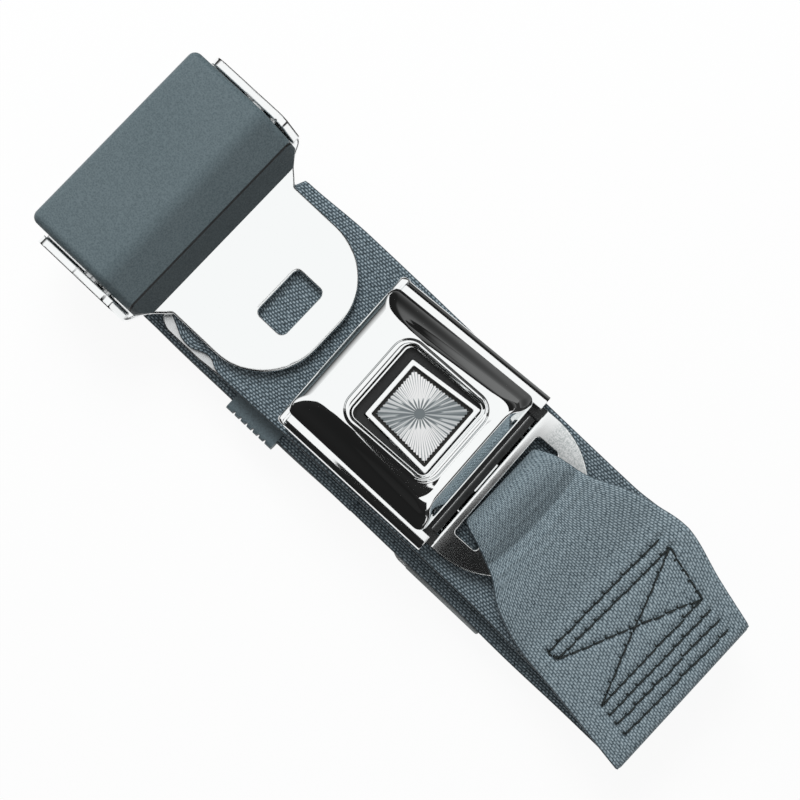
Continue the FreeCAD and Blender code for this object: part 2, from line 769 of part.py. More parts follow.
def make_tongue_plate():
    """One stamping: flat tongue with its latch hole, webbing window, and two upright flanges."""
    body = new_body("tongue_plate")
    pad(body, sketch(body, "XY_Plane", [plate_plan()], "hardware_z"), cell("plate_thick"))
    wide = size("frame_width") / 2
    thick = size("plate_thick")
    base = size("hardware_z")
    rear = size("frame_rear")
    front = size("flange_front")
    top = base + size("flange_height")
    profile = [
        (rear, base),
        (front + 1.2, base),
        (front + 1.2, base + thick, 1.0),
        (front - 3.4, top, 4.0),
        (rear, top - 1.5, 4.0),
    ]
    for way in (-1, 1):
        middle = way * (wide - thick / 2)
        flange = sketch(body, "XZ_Plane", [profile], -middle, "flange")
        pad(body, flange, cell("plate_thick"), symmetric=True)
    slot_half = size("lock_bar_tenon") / 2 + 0.12
    bar_x = size("lock_bar_x")
    bar_z = size("lock_bar_z")
    slot = rectangle(
        bar_x - size("lock_bar_travel") - slot_half,
        bar_x + slot_half,
        bar_z - slot_half,
        bar_z + slot_half,
        slot_half * 0.98,
    )
    pocket(body, sketch(body, "XZ_Plane", [slot], None, "bar_slots"))
    window_x = rear + size("bar_setback") + size("rear_bar")
    half = size("window_across") / 2
    window = rectangle(window_x, window_x + size("window_along"), -half, half, 2.0)
    pocket(body, sketch(body, "XY_Plane", [window], base, "window"))
    hole_half = size("hole_across") / 2
    hole_x = size("hole_x")
    along = size("hole_along") / 2
    hole = rectangle(hole_x - along, hole_x + along, -hole_half, hole_half, 1.6)
    pocket(body, sketch(body, "XY_Plane", [hole], base, "latch_hole"))
    soften(body, "Fillet", tongue_rim_edges(body.Shape), size("tongue_round"))
    return body


def tongue_rim_edges(shape):
    """Edges of the top face round the tongue and its latch hole, before the flanges' roots."""
    names = []
    for i, edge in enumerate(shape.Edges):
        box = edge.BoundBox
        on_top = box.ZLength < 1e-4 and abs(box.ZMax - size("plate_top_z")) < 1e-4
        if on_top and box.XMin > size("neck_x") - 1.0:
            names.append(f"Edge{i + 1}")
    return names


def cover_profile(inset):
    """Side view of the adjuster cover, inset by a wall for its inside."""
    rear = size("adjuster_rear") + inset
    seam = size("adjuster_rear") + size("cover_length") - inset * 0.9
    foot = size("plate_top_z") + size("cover_seat") - (1.0 if inset else 0.0)
    top = size("plate_top_z") + size("cover_height") - inset
    seam_z = size("plate_top_z") + size("cover_lip_height") - inset * 0.4
    return [
        (rear, foot),
        (seam + size("cover_lip"), foot),
        (seam, seam_z, 0.5),
        (seam - size("cover_crest"), top, 6.0),
        (rear, top - 1.4, max(2.6 - inset, 0.6)),
    ]


def make_adjuster_cover():
    """The moulded cover over the adjuster: a shell, open below, with a gap at the rear for the webbing."""
    body = new_body("adjuster_cover")
    pad(body, sketch(body, "XZ_Plane", [cover_profile(0.0)]), cell("cover_width"), symmetric=True)
    soften(body, "Fillet", cover_side_edges(body.Shape), size("cover_round"))
    half = size("cover_width") / 2
    seam = size("adjuster_rear") + size("cover_length")
    front = seam + size("cover_lip") + 1.0
    slant = size("cover_lip") + 1.0
    corners = [
        [(seam + 0.3, way * (half + 1.0)), (front, way * (half + 1.0)), (front, way * (half - slant))]
        for way in (-1, 1)
    ]
    pocket(body, sketch(body, "XY_Plane", corners, None, "lip_corners"))
    inside = sketch(body, "XZ_Plane", [cover_profile(size("cover_wall"))], None, "inside")
    pocket(body, inside, "Sizes.cover_width - 2 * Sizes.cover_wall", symmetric=True)
    clear = size("lock_bar_tenon") / 2 + 0.4
    bar_x = size("lock_bar_x")
    notch = [
        (bar_x - size("lock_bar_travel") - clear, size("plate_top_z") - 1.0),
        (bar_x + clear, size("plate_top_z") - 1.0),
        (bar_x + clear, size("lock_bar_z") + clear, clear * 0.9),
        (bar_x - size("lock_bar_travel") - clear, size("lock_bar_z") + clear, clear * 0.9),
    ]
    pocket(body, sketch(body, "XZ_Plane", [notch], None, "bar_notches"))
    gap_top = size("load_web_z") + size("web_thick") + 0.5
    gap_half = size("web_width") / 2 + 0.8
    exit_gap = rectangle(-gap_half, gap_half, size("plate_top_z") - 1.0, gap_top, 0.5)
    cut = sketch(body, "YZ_Plane", [exit_gap], size("adjuster_rear") - 1.0, "web_exit")
    pocket(body, cut, size("cover_wall") + 2.0, upward=True)
    return body


def cover_side_edges(shape):
    """Edges round the cover's two side faces, apart from those at its foot."""
    names = []
    box = shape.BoundBox
    for i, edge in enumerate(shape.Edges):
        at_side = edge.BoundBox.YLength < 1e-4
        if at_side and edge.CenterOfMass.z > box.ZMin + 0.5:
            names.append(f"Edge{i + 1}")
    return names


def make_cover_pins():
    """Two headed pins that hold the cover to the flanges, one each side."""
    body = new_body("cover_pins")
    x = size("flange_front") - 0.22 * size("flange_length")
    z = size("plate_top_z") + 0.33 * size("flange_height")
    outer = size("frame_width") / 2
    inner = size("cover_width") / 2 - size("cover_wall")
    for way in (-1, 1):
        head = body.newObject("PartDesign::AdditiveCylinder", "pin")
        head.Radius = size("cover_pin_size") / 2
        head.Height = outer - inner
        start = Vector(x, way * inner, z)
        turn = FreeCAD.Rotation(Vector(0, 0, 1), Vector(0, way, 0))
        head.Placement = FreeCAD.Placement(start, turn)
        doc.recompute()
    return body


def make_lock_bar():
    """The bar that grips the webbing: a flatted, knurled middle and two round ends."""
    body = new_body("lock_bar")
    radius = size("lock_bar_size") / 2
    x = size("lock_bar_x")
    z = size("lock_bar_z")
    teeth = 16
    points = []
    for i in range(teeth * 2):
        angle = math.pi * i / teeth
        reach = radius if i % 2 == 0 else radius - 0.35
        points.append((x + reach * math.cos(angle), z + reach * math.sin(angle)))
    middle = size("cover_width") - 2 * size("cover_wall") - 0.8
    pad(body, sketch(body, "XZ_Plane", [points]), middle, symmetric=True)
    tenon = circle(x, z, size("lock_bar_tenon") / 2)
    tenons = edge_sketch(body, "XZ_Plane", tenon, None, "tenons")
    pad(body, tenons, size("frame_width") - 0.6, symmetric=True)
    return body


def make_lock_spring():
    """A bent strip of spring steel on the plate that holds the lock bar forward."""
    body = new_body("lock_bar_spring")
    x = size("lock_bar_x") + size("lock_bar_size") / 2 + size("soft_gap") * 2 + size("web_thick")
    base = size("plate_top_z")
    route = [
        (size("flange_front") + 0.2, base + 0.35),
        (x + 1.6, base + 0.35, 0.8),
        (x + 0.9, size("lock_bar_z") + 0.6, 0.8),
        (x + 2.4, size("lock_bar_z") + 2.2),
    ]
    profile = sketch(body, "XZ_Plane", [band(route, 0.4)])
    pad(body, profile, 0.6 * size("web_width"), symmetric=True)
    return body


# The buckle, drawn about its own middle with heights over the frame's lower face


def rail_section(half):
    """Section of the frame's channel: floor, side walls, and lips folded in over the cover."""
    thick = size("base_thick")
    top = size("rail_height")
    lip = half - size("rail_lip")
    radius = 2.4
    outer = [
        (-lip, top),
        (-half, top, radius),
        (-half, 0, 1.4),
        (half, 0, 1.4),
        (half, top, radius),
        (lip, top),
    ]
    inner = [
        (lip, top - thick),
        (half - thick, top - thick, radius - thick),
        (half - thick, thick, 0.4),
        (thick - half, thick, 0.4),
        (thick - half, top - thick, radius - thick),
        (-lip, top - thick),
    ]
    return outer + inner


def make_buckle_frame():
    """One stamping: channel with folded-in rails, stop for the ejector, and the round tang."""
    body = new_body("buckle_frame")
    half_length = size("buckle_length") / 2
    nose = 2.2
    front = sketch(body, "YZ_Plane", [rail_section(size("buckle_front_width") / 2)], nose - half_length)
    rear = sketch(body, "YZ_Plane", [rail_section(size("buckle_rear_width") / 2)], half_length, "rear")
    channel = body.newObject("PartDesign::AdditiveLoft", "channel")
    channel.Profile = front
    channel.Sections = [rear]
    channel.Ruled = True
    doc.recompute()
    thick = size("base_thick")
    rise = size("tang_rise")
    crease = size("tang_slot_x") - 1.4
    radius = size("tang_radius")
    end = size("tang_centre") + radius
    step = [
        (crease - 4.5, 0),
        (crease - 2.6, 0, 1.0),
        (crease - 0.2, rise, 1.0),
        (end + 1, rise),
        (end + 1, rise + thick),
        (crease - 0.6, rise + thick, 1.0),
        (crease - 3.0, thick, 1.0),
        (crease - 4.5, thick),
    ]
    tang = sketch(body, "XZ_Plane", [step], None, "tang")
    pad(body, tang, 2 * radius, symmetric=True)
    beyond = end + 8.0
    trim_tang(body, radius, beyond)
    slot_x = size("tang_slot_x")
    slot_half = size("tang_slot_across") / 2
    slot = rectangle(slot_x, slot_x + size("tang_slot_along"), -slot_half, slot_half, 1.0)
    pocket(body, sketch(body, "XY_Plane", [slot], None, "tang_slot"))
    stop = sketch(
        body,
        "XZ_Plane",
        [rectangle(size("stop_x"), size("stop_x") + 1.6, thick * 0.5, thick + 4.4)],
        None,
        "stop",
    )
    pad(body, stop, 9.0, symmetric=True)
    pivot = size("pivot_x")
    lug = [
        (pivot - 2.2, thick * 0.5),
        (pivot + 2.2, thick * 0.5),
        (pivot + 2.2, size("lug_height"), 2.0),
        (pivot - 2.2, size("lug_height"), 2.0),
    ]
    for way in (-1, 1):
        middle = way * (size("lug_inside") + thick / 2)
        pad(body, sketch(body, "XZ_Plane", [lug], -middle, "lug"), thick, symmetric=True)
    bore = circle(pivot, size("pivot_height"), size("pin_size") / 2 + size("pin_fit"))
    bore_sketch = edge_sketch(body, "XZ_Plane", bore, None, "lug_bore")
    pocket(body, bore_sketch, 2 * size("lug_inside") + 4 * thick, symmetric=True)
    return body


def trim_tang(body, radius, beyond):
    """Rounds the tang's end by cutting away the two corners outside its circle."""
    centre = size("tang_centre")
    for way in (-1, 1):
        start = Vector(centre, way * radius, 0)
        quarter = Vector(centre + radius * math.cos(math.pi / 4), way * radius * math.sin(math.pi / 4), 0)
        tip = Vector(centre + radius, 0, 0)
        outer_tip = Vector(beyond, 0, 0)
        outer = Vector(beyond, way * (radius + 1.0), 0)
        above = Vector(centre, way * (radius + 1.0), 0)
        edges = [
            Part.Arc(start, quarter, tip),
            Part.LineSegment(tip, outer_tip),
            Part.LineSegment(outer_tip, outer),
            Part.LineSegment(outer, above),
            Part.LineSegment(above, start),
        ]
        pocket(body, edge_sketch(body, "XY_Plane", edges, None, "corner"))


def dome_section(inset, height_share, wall):
    """One level of the domed cover: 0 at the rails, 1 at the bezel; wall insets it for the inside."""
    half_length = size("buckle_length") / 2
    lip = size("rail_lip")
    front_half = size("buckle_front_width") / 2 - lip - 0.15
    rear_half = size("buckle_rear_width") / 2 - lip - 0.15
    low = (0.4 - half_length, half_length - 2.2, front_half, rear_half, 2.4)
    along = size("bezel_along") / 2
    across = size("bezel_across") / 2
    middle = size("bezel_shift")
    high = (middle - along, middle + along, across, across, size("bezel_corner") + 0.2)
    level = [a + (b - a) * height_share for a, b in zip(low, high)]
    x_front, x_rear, half_a, half_b, radius = level
    trimmed = inset + wall
    return trapezoid(
        x_front + trimmed,
        x_rear - trimmed,
        half_a - trimmed,
        half_b - trimmed,
        max(radius - trimmed, 0.8),
    )


def brim_low():
    """Height of the lower face of the cover's brim, which lies under the rails' lips."""
    return size("rail_height") - size("base_thick") - size("brim_gap") - size("shell_thick")


def dome_levels():
    """(share of the way in to the bezel, height) up the dome's pillow-shaped flanks."""
    start = brim_low()
    rise = size("dome_height") - size("rail_height")
    flank = [
        (0.0, 0.12),
        (0.07, 0.27),
        (0.22, 0.49),
        (0.42, 0.72),
        (0.6, 0.86),
        (0.75, 0.937),
        (0.88, 0.98),
        (1.0, 1.0),
    ]
    return [(0.0, start)] + [(share, size("rail_height") + part * rise) for share, part in flank]


def stacked_loft(body, sections, cutting):
    """A ruled loft through plan outlines at rising heights."""
    sketches = [
        sketch(body, "XY_Plane", [corners], height, "level") for corners, height in sections
    ]
    kind = "PartDesign::SubtractiveLoft" if cutting else "PartDesign::AdditiveLoft"
    loft = body.newObject(kind, "loft")
    loft.Profile = sketches[0]
    loft.Sections = sketches[1:]
    loft.Ruled = True
    doc.recompute()
    return loft


def make_buckle_cover():
    """The domed cover: pressed steel flanks rising to a raised bezel, a brim under the rails, a front lip."""
    body = new_body("buckle_cover")
    wall = size("shell_thick")
    levels = dome_levels()
    stacked_loft(body, [(dome_section(0, share, 0), height) for share, height in levels], False)
    along = size("bezel_along") / 2
    across = size("bezel_across") / 2
    middle = size("bezel_shift")
    top = size("dome_height")
    corner = size("bezel_corner")
    ring = []
    for inset, height in ((0.3, top - 0.2), (0.3 + size("bezel_slope"), bezel_top())):
        front = middle - along + inset
        rear = middle + along - inset
        ring.append((rectangle(front, rear, inset - across, across - inset, corner - inset), height))
    stacked_loft(body, ring, False)
    half_length = size("buckle_length") / 2
    brim = trapezoid(
        2.6 - half_length,
        half_length - 2.4,
        size("buckle_front_width") / 2 - size("base_thick") - 0.5,
        size("buckle_rear_width") / 2 - size("base_thick") - 0.5,
        1.5,
    )
    pad(body, sketch(body, "XY_Plane", [brim], brim_low(), "brim"), cell("shell_thick"))
    front_half = size("buckle_front_width") / 2
    lip_low = size("base_thick") + size("mouth_height")
    lip = [
        (-half_length, lip_low, 0.6),
        (-half_length, size("rail_height") + 0.4, 1.6),
        (2.0 - half_length, size("rail_height") + 0.4),
        (2.0 - half_length, lip_low),
    ]
    pad(body, sketch(body, "XZ_Plane", [lip], None, "front_lip"), 2 * front_half, symmetric=True)
    inner = [(dome_section(0, share, wall), height) for share, height in levels[:-1]]
    inner = [(inner[0][0], brim_low() - 2.0)] + [(c, height - wall * 0.9) for c, height in inner[1:]]
    inner.append((dome_section(0, 1.0, wall), top - wall))
    stacked_loft(body, inner, True)
    open_along = size("opening_along") / 2
    open_across = size("opening_across") / 2
    open_middle = middle + 0.3
    open_corner = size("opening_corner")
    ledge = size("bezel_ledge")
    wider = rectangle(
        open_middle - open_along - ledge,
        open_middle + open_along + ledge,
        -open_across - ledge,
        open_across + ledge,
        open_corner + ledge,
    )
    ledge_sketch = sketch(body, "XY_Plane", [wider], bezel_top() - size("bezel_step"), "ledge")
    pocket(body, ledge_sketch, 2 * ledge, upward=True)
    opening = rectangle(
        open_middle - open_along, open_middle + open_along, -open_across, open_across, open_corner
    )
    opening_sketch = sketch(body, "XY_Plane", [opening], top - 2 * wall, "opening")
    pocket(body, opening_sketch, size("dome_height"), upward=True)
    return body


def button_plan(inset):
    """Plan of the button, which flares to the rear, inset by a margin."""
    half = size("button_length") / 2
    middle = size("button_shift")
    taper = (size("button_rear_width") - size("button_front_width")) / 2 / size("button_length")
    front = size("button_front_width") / 2 - inset + taper * inset
    rear = size("button_rear_width") / 2 - inset - taper * inset
    return trapezoid(middle - half + inset, middle + half - inset, front, rear, 0.4)


def bezel_top():
    return size("dome_height") + size("bezel_rise")


def make_button_well():
    """The dark moulded guide that the button slides in, under the bezel."""
    body = new_body("button_well")
    along = size("bezel_along") / 2 + size("well_margin")
    across = size("bezel_across") / 2 + size("well_margin")
    middle = size("bezel_shift")
    top = bezel_top() - size("well_drop")
    plan = rectangle(middle - along, middle + along, -across, across, size("bezel_corner"))
    inside = button_plan(-0.25)
    profile = sketch(body, "XY_Plane", [plan, inside], top - size("well_depth"))
    pad(body, profile, size("well_depth"))
    return body


def make_button():
    """The button: a bright frame round a recess, a skirt, and two feet on the latch arms."""
    body = new_body("push_button")
    top = bezel_top() - size("button_drop")
    wall = size("button_wall")
    floor = top - size("insert_drop") - size("insert_thick")
    deck = floor - 0.9
    skirt = size("pivot_height") + size("boss_size") / 2 + size("button_travel") + 0.2
    pad(body, sketch(body, "XY_Plane", [button_plan(0.0)], skirt), top - skirt)
    pocket(body, sketch(body, "XY_Plane", [button_plan(wall)], floor, "recess"), 5.0, upward=True)
    hollow = sketch(body, "XY_Plane", [button_plan(wall)], deck, "hollow")
    pocket(body, hollow, 8.0)
    foot_low = size("pivot_height") - size("latch_drop") + 0.2
    foot_x = size("pivot_x") + 8.0
    for way in (-1, 1):
        foot = rectangle(foot_x - 1.6, foot_x + 0.6, min(way * 5.2, way * 8.6), max(way * 5.2, way * 8.6), 0.4)
        pad(body, sketch(body, "XY_Plane", [foot], foot_low, "foot"), deck + 0.2 - foot_low)
    return body


def make_button_insert():
    """The bright plate in the button, with a pinked edge."""
    body = new_body("button_insert")
    top = bezel_top() - size("button_drop") - size("insert_drop")
    bottom = top - size("insert_thick") + 0.02
    corners = button_plan(size("button_wall") + size("insert_gap"))
    points = []
    for i in range(4):
        x_a, y_a = corners[i][0], corners[i][1]
        x_b, y_b = corners[(i + 1) % 4][0], corners[(i + 1) % 4][1]
        length = math.hypot(x_b - x_a, y_b - y_a)
        teeth = int(length / 0.9)
        normal = Vector(y_a - y_b, x_b - x_a, 0).normalize() * 0.35
        for k in range(teeth):
            points.append((x_a + (x_b - x_a) * k / teeth, y_a + (y_b - y_a) * k / teeth))
            middle = (k + 0.5) / teeth
            points.append((x_a + (x_b - x_a) * middle + normal.x, y_a + (y_b - y_a) * middle + normal.y))
    pad(body, sketch(body, "XY_Plane", [points], bottom), top - bottom)
    return body


def make_latch():
    """The see-saw latch: nose down in front, boss on the pin, two arms under the button's feet."""
    body = new_body("latch_plate")
    pivot_x = size("pivot_x")
    pivot = size("pivot_height")
    top = pivot - size("latch_drop")
    low = top - size("latch_thick")
    nose = pivot_x - size("latch_reach")
    tail = pivot_x + size("latch_arm")
    foot = size("base_thick") + size("nose_clear")
    section = [
        (nose, foot, 0.5),
        (nose + size("nose_along"), foot, 0.3),
        (nose + size("nose_along"), low, 0.4),
        (tail, low, 0.6),
        (tail, top, 0.6),
        (nose, top, 1.6),
    ]
    pad(body, sketch(body, "XZ_Plane", [section]), cell("latch_width"), symmetric=True)
    boss = circle(pivot_x, pivot, size("boss_size") / 2)
    pad(body, edge_sketch(body, "XZ_Plane", boss, None, "boss"), cell("latch_width"), symmetric=True)
    bore = circle(pivot_x, pivot, size("pin_size") / 2 + size("pin_fit"))
    pocket(body, edge_sketch(body, "XZ_Plane", bore, None, "bore"))
    half = size("latch_width") / 2 + 1
    nose_half = size("nose_across") / 2
    ejector = size("ejector_width") / 2 + 0.8
    away = [
        rectangle(nose - 2, pivot_x - size("boss_size") / 2 - 0.4, nose_half, half),
        rectangle(nose - 2, pivot_x - size("boss_size") / 2 - 0.4, -half, -nose_half),
        rectangle(pivot_x + size("boss_size") / 2 + 0.4, tail + 2, -ejector, ejector),
    ]
    pocket(body, sketch(body, "XY_Plane", away, None, "fork"))
    beside = size("boss_size") / 2 + 0.5
    spring_gap = rectangle(pivot_x - beside, pivot_x + beside, -4.6, 4.6)
    pocket(body, sketch(body, "XY_Plane", [spring_gap], None, "spring_gap"))
    return body


def make_latch_pin():
    """The pin across the frame that the latch rocks on."""
    body = new_body("latch_pin")
    half = size("lug_inside") + size("base_thick") + 0.2
    pin = circle(size("pivot_x"), size("pivot_height"), size("pin_size") / 2)
    pad(body, edge_sketch(body, "XZ_Plane", pin), 2 * half, symmetric=True)
    return body


def ribbed_sleeve(label, radius, wire, length, place):
    """A closely wound spring: a sleeve whose outside is ribbed with its turns."""
    body = new_body(label)
    turns = max(int(length / (wire * 2.6)), 3)
    pitch = length / turns
    inner = radius - wire
    points = [(0, inner), (length, inner)]
    for i in range(turns, 0, -1):
        points.append((i * pitch, radius - wire * 0.35))
        points.append(((i - 0.5) * pitch, radius))
    points.append((0, radius - wire * 0.35))
    profile = sketch(body, "XZ_Plane", [points])
    turned = body.newObject("PartDesign::Revolution", "turns")
    turned.Profile = profile
    turned.ReferenceAxis = (profile, ["H_Axis"])
    turned.Angle = 360
    doc.recompute()
    body.Placement = place
    return body


def make_springs():
    """The latch's coil on its pin, and the ejector's coil on its rod."""
    turn = FreeCAD.Rotation(Vector(0, 0, 1), size("buckle_yaw"))
    origin = Vector(size("buckle_x"), size("buckle_side"), size("hardware_z"))
    pin_radius = size("pin_size") / 2 + 0.15
    latch_length = 8.6
    start = Vector(size("pivot_x"), -latch_length / 2, size("pivot_height"))
    across = FreeCAD.Rotation(Vector(0, 0, 1), 90)
    latch_place = FreeCAD.Placement(origin + turn.multVec(start), turn.multiply(across))
    latch = ribbed_sleeve("latch_spring", pin_radius + 0.6, 0.6, latch_length, latch_place)
    rod_radius = size("ejector_rod") / 2 + 0.1
    back = ejector_back()
    length = size("stop_x") - back - 0.1
    start = Vector(back + 0.05, 0, ejector_height())
    place = FreeCAD.Placement(origin + turn.multVec(start), turn)
    ejector = ribbed_sleeve("ejector_spring", rod_radius + 0.5, 0.5, length, place)
    return [latch, ejector]


def ejector_front():
    return size("pivot_x") - size("latch_reach") + size("nose_along") + 1.1


def ejector_back():
    return ejector_front() + 3.4


def ejector_height():
    return size("base_thick") + 1.8


def make_ejector():
    """The slider that the tongue pushes back, and that pushes it out again."""
    body = new_body("ejector")
    low = size("base_thick") + 0.3
    front = ejector_front()
    head_half = size("ejector_width") / 2
    plan = rectangle(front, ejector_back(), -head_half, head_half, 0.8)
    pad(body, sketch(body, "XY_Plane", [plan], low), size("ejector_thick"))
    rod_end = size("stop_x") - size("ejector_travel") - 0.4
    rod = circle(0, ejector_height(), size("ejector_rod") / 2)
    rod_sketch = edge_sketch(body, "YZ_Plane", rod, ejector_back() - 0.5, "rod")
    pad(body, rod_sketch, rod_end - ejector_back() + 0.5)
    return body


def make_rear_guides():
    """One moulding: two blocks that fill the rails' rear ends, and a sill on the floor between them."""
    body = new_body("rear_guides")
    half_length = size("buckle_length") / 2
    half = size("buckle_rear_width") / 2 - size("base_thick") - 0.45
    low = size("base_thick") + 0.1
    high = size("rail_height") - size("base_thick") - 0.1 - size("shell_thick") - 0.2
    for way in (-1, 1):
        inner = half - size("rail_lip")
        end = half_length - 0.5
        plan = rectangle(
            end - size("guide_length"), end, min(way * inner, way * half), max(way * inner, way * half), 0.6
        )
        pad(body, sketch(body, "XY_Plane", [plan], low, "block"), high - low)
    sill_end = half_length - size("guide_sill_setback")
    sill = rectangle(sill_end - size("sill_along"), sill_end, -half, half, 0.4)
    pad(body, sketch(body, "XY_Plane", [sill], low, "sill"), size("sill_height"))
    return body


def build_all():
    """Makes every sub-part and returns them in the order of the stack, from the floor up."""
    made = [
        make_lap_web(),
        make_anchor("lap_anchor_plate", size("lap_anchor_x"), size("stack_side"), size("lap_anchor_z")),
        make_web_tail(),
        make_keeper(),
        make_tab(),
        make_anchor(
            "buckle_anchor_plate",
            size("buckle_anchor_x"),
            size("buckle_anchor_side"),
            size("buckle_anchor_z"),
        ),
        make_buckle_web(),
        make_sewn_lap(),
        make_tang_loop(),
        *make_rear_bends(),
        make_adjuster_web(),
        make_tongue_plate(),
        make_adjuster_cover(),
        make_cover_pins(),
        make_lock_bar(),
        make_lock_spring(),
    ]
    on_buckle = [
        make_buckle_frame(),
        make_buckle_cover(),
        make_button_well(),
        make_button(),
        make_button_insert(),
        make_latch(),
        make_latch_pin(),
        make_ejector(),
        make_rear_guides(),
    ]
    for body in on_buckle:
        place_on_buckle(body)
    return made + on_buckle + make_springs()


def check_and_write(parts):
    """Stops if anything failed to build, then writes one file for each sub-part."""
    doc.recompute()
    for item in doc.Objects:
        if "Invalid" in item.State or "Error" in item.State:
            raise ValueError(f"{item.Label} did not build: {item.State}")
    os.makedirs("parts", exist_ok=True)
    for part in parts:
        shape = part.Shape
        if shape.isNull() or not shape.isValid() or shape.Volume <= 0:
            raise ValueError(f"{part.Label} has no sound solid")
    for part in parts:
        part.Shape.exportStep(f"parts/{part.Label}.step")
        print(part.Label, len(part.Shape.Solids), round(part.Shape.Volume, 1))


check_and_write(build_all())
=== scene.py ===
import bpy
import math
from mathutils import Matrix, Vector, noise


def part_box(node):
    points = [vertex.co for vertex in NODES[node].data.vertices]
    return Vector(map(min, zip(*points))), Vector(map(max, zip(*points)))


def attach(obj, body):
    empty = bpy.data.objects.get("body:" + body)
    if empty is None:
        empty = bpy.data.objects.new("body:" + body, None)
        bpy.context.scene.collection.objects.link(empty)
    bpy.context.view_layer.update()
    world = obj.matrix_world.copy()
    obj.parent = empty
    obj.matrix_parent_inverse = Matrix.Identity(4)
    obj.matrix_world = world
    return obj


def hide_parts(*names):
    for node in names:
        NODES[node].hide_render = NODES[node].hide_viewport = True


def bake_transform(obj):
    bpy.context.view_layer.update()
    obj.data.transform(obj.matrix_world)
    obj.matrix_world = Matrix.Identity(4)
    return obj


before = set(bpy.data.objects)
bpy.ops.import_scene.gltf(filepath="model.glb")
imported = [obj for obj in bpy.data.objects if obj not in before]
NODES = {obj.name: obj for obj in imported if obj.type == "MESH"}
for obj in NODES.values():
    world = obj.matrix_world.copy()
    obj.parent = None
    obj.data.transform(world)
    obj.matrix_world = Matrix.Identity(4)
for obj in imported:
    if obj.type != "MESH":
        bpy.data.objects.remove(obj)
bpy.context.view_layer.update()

# Metres. X runs along the belt, from the adjuster to the sewn fold; Z is up.
MM = 0.001

# The webbing and the levels of its runs, from the floor up, as the solids have them
WEB_WIDTH = 48.8 * MM
WEB_THICK = 1.2 * MM
LAYER_GAP = 0.12 * MM
SOFT_GAP = 0.3 * MM
HALF = WEB_THICK / 2
ANCHOR_THICK = 2.5 * MM
KEEPER_WALL = 1.0 * MM
KEEPER_GAP = 0.2 * MM
PLATE_THICK = 2.2 * MM
LAP_ANCHOR_Z = WEB_THICK + LAYER_GAP
OVER_BAR_Z = LAP_ANCHOR_Z + ANCHOR_THICK + LAYER_GAP
SECOND_RUN_Z = OVER_BAR_Z + WEB_THICK + LAYER_GAP
FIRST_RUN_Z = SECOND_RUN_Z + WEB_THICK + 2 * KEEPER_GAP + KEEPER_WALL
TAIL_Z = FIRST_RUN_Z + WEB_THICK + LAYER_GAP
BUCKLE_ANCHOR_Z = TAIL_Z + WEB_THICK + 2 * KEEPER_GAP + KEEPER_WALL
RETURN_LAP_Z = BUCKLE_ANCHOR_Z + ANCHOR_THICK + LAYER_GAP
TOP_RUN_Z = RETURN_LAP_Z + WEB_THICK + LAYER_GAP
HARDWARE_Z = TOP_RUN_Z + WEB_THICK + SOFT_GAP
UNDER_LAP_Z = TOP_RUN_Z + WEB_THICK + LAYER_GAP
SEWN_TOP_Z = UNDER_LAP_Z + WEB_THICK + LAYER_GAP
PLATE_TOP_Z = HARDWARE_Z + PLATE_THICK

# The buckle is turned a little on the belt
BUCKLE_PLACE = Vector((1.75 * MM, 1.0 * MM, HARDWARE_Z))
BUCKLE_YAW = math.radians(2.2)


def on_buckle(u, v, height):
    """A point drawn in the buckle's own millimetres, where the buckle lies."""
    placed = Matrix.Rotation(BUCKLE_YAW, 2) @ Vector((u, v)) * MM
    return Vector((BUCKLE_PLACE.x + placed.x, BUCKLE_PLACE.y + placed.y, BUCKLE_PLACE.z + height * MM))


# Colours


def srgb(code):
    """A hex colour as Blender's linear colour."""
    channels = [int(code[i:i + 2], 16) / 255 for i in (1, 3, 5)]
    linear = [c / 12.92 if c <= 0.04045 else ((c + 0.055) / 1.055) ** 2.4 for c in channels]
    return (*linear, 1.0)


# Materials: one function adds a node with its settings and links


def add(tree, kind, settings=None, links=None):
    """Adds a node; settings are attributes or input values, links are input -> output socket."""
    item = tree.nodes.new(kind)
    for key, value in (settings or {}).items():
        if isinstance(key, str) and hasattr(item, key) and key not in item.inputs:
            setattr(item, key, value)
        else:
            item.inputs[key].default_value = value
    for key, socket in (links or {}).items():
        tree.links.new(socket, item.inputs[key])
    return item


def new_material(name, **settings):
    """A material with its Principled shader, and that shader's plain settings."""
    made = bpy.data.materials.new(name)
    made.use_nodes = True
    shader = made.node_tree.nodes["Principled BSDF"]
    for key, value in settings.items():
        shader.inputs[key.replace("_", " ").title().replace("Ior", "IOR")].default_value = value
    return made, made.node_tree, shader


def ramp(tree, factor, stops, interpolation="LINEAR"):
    """A colour ramp through (position, colour) stops."""
    item = add(tree, "ShaderNodeValToRGB", links={"Fac": factor})
    item.color_ramp.interpolation = interpolation
    while len(item.color_ramp.elements) < len(stops):
        item.color_ramp.elements.new(0.5)
    for element, (position, colour) in zip(item.color_ramp.elements, stops):
        element.position = position
        element.color = colour
    return item.outputs["Color"]


def grey(value):
    return (value, value, value, 1.0)


def maths(tree, operation, a, b=None):
    """One sum on one or two values, each a number or a socket."""
    item = add(tree, "ShaderNodeMath", {"operation": operation})
    for i, value in enumerate((a, b)):
        if value is None:
            continue
        if isinstance(value, (int, float)):
            item.inputs[i].default_value = value
        else:
            tree.links.new(value, item.inputs[i])
    return item.outputs[0]


def past(tree, value, start, end):
    """0 before start, 1 past end, even in between."""
    limits = {"From Min": start, "From Max": end}
    return add(tree, "ShaderNodeMapRange", limits, {"Value": value}).outputs["Result"]


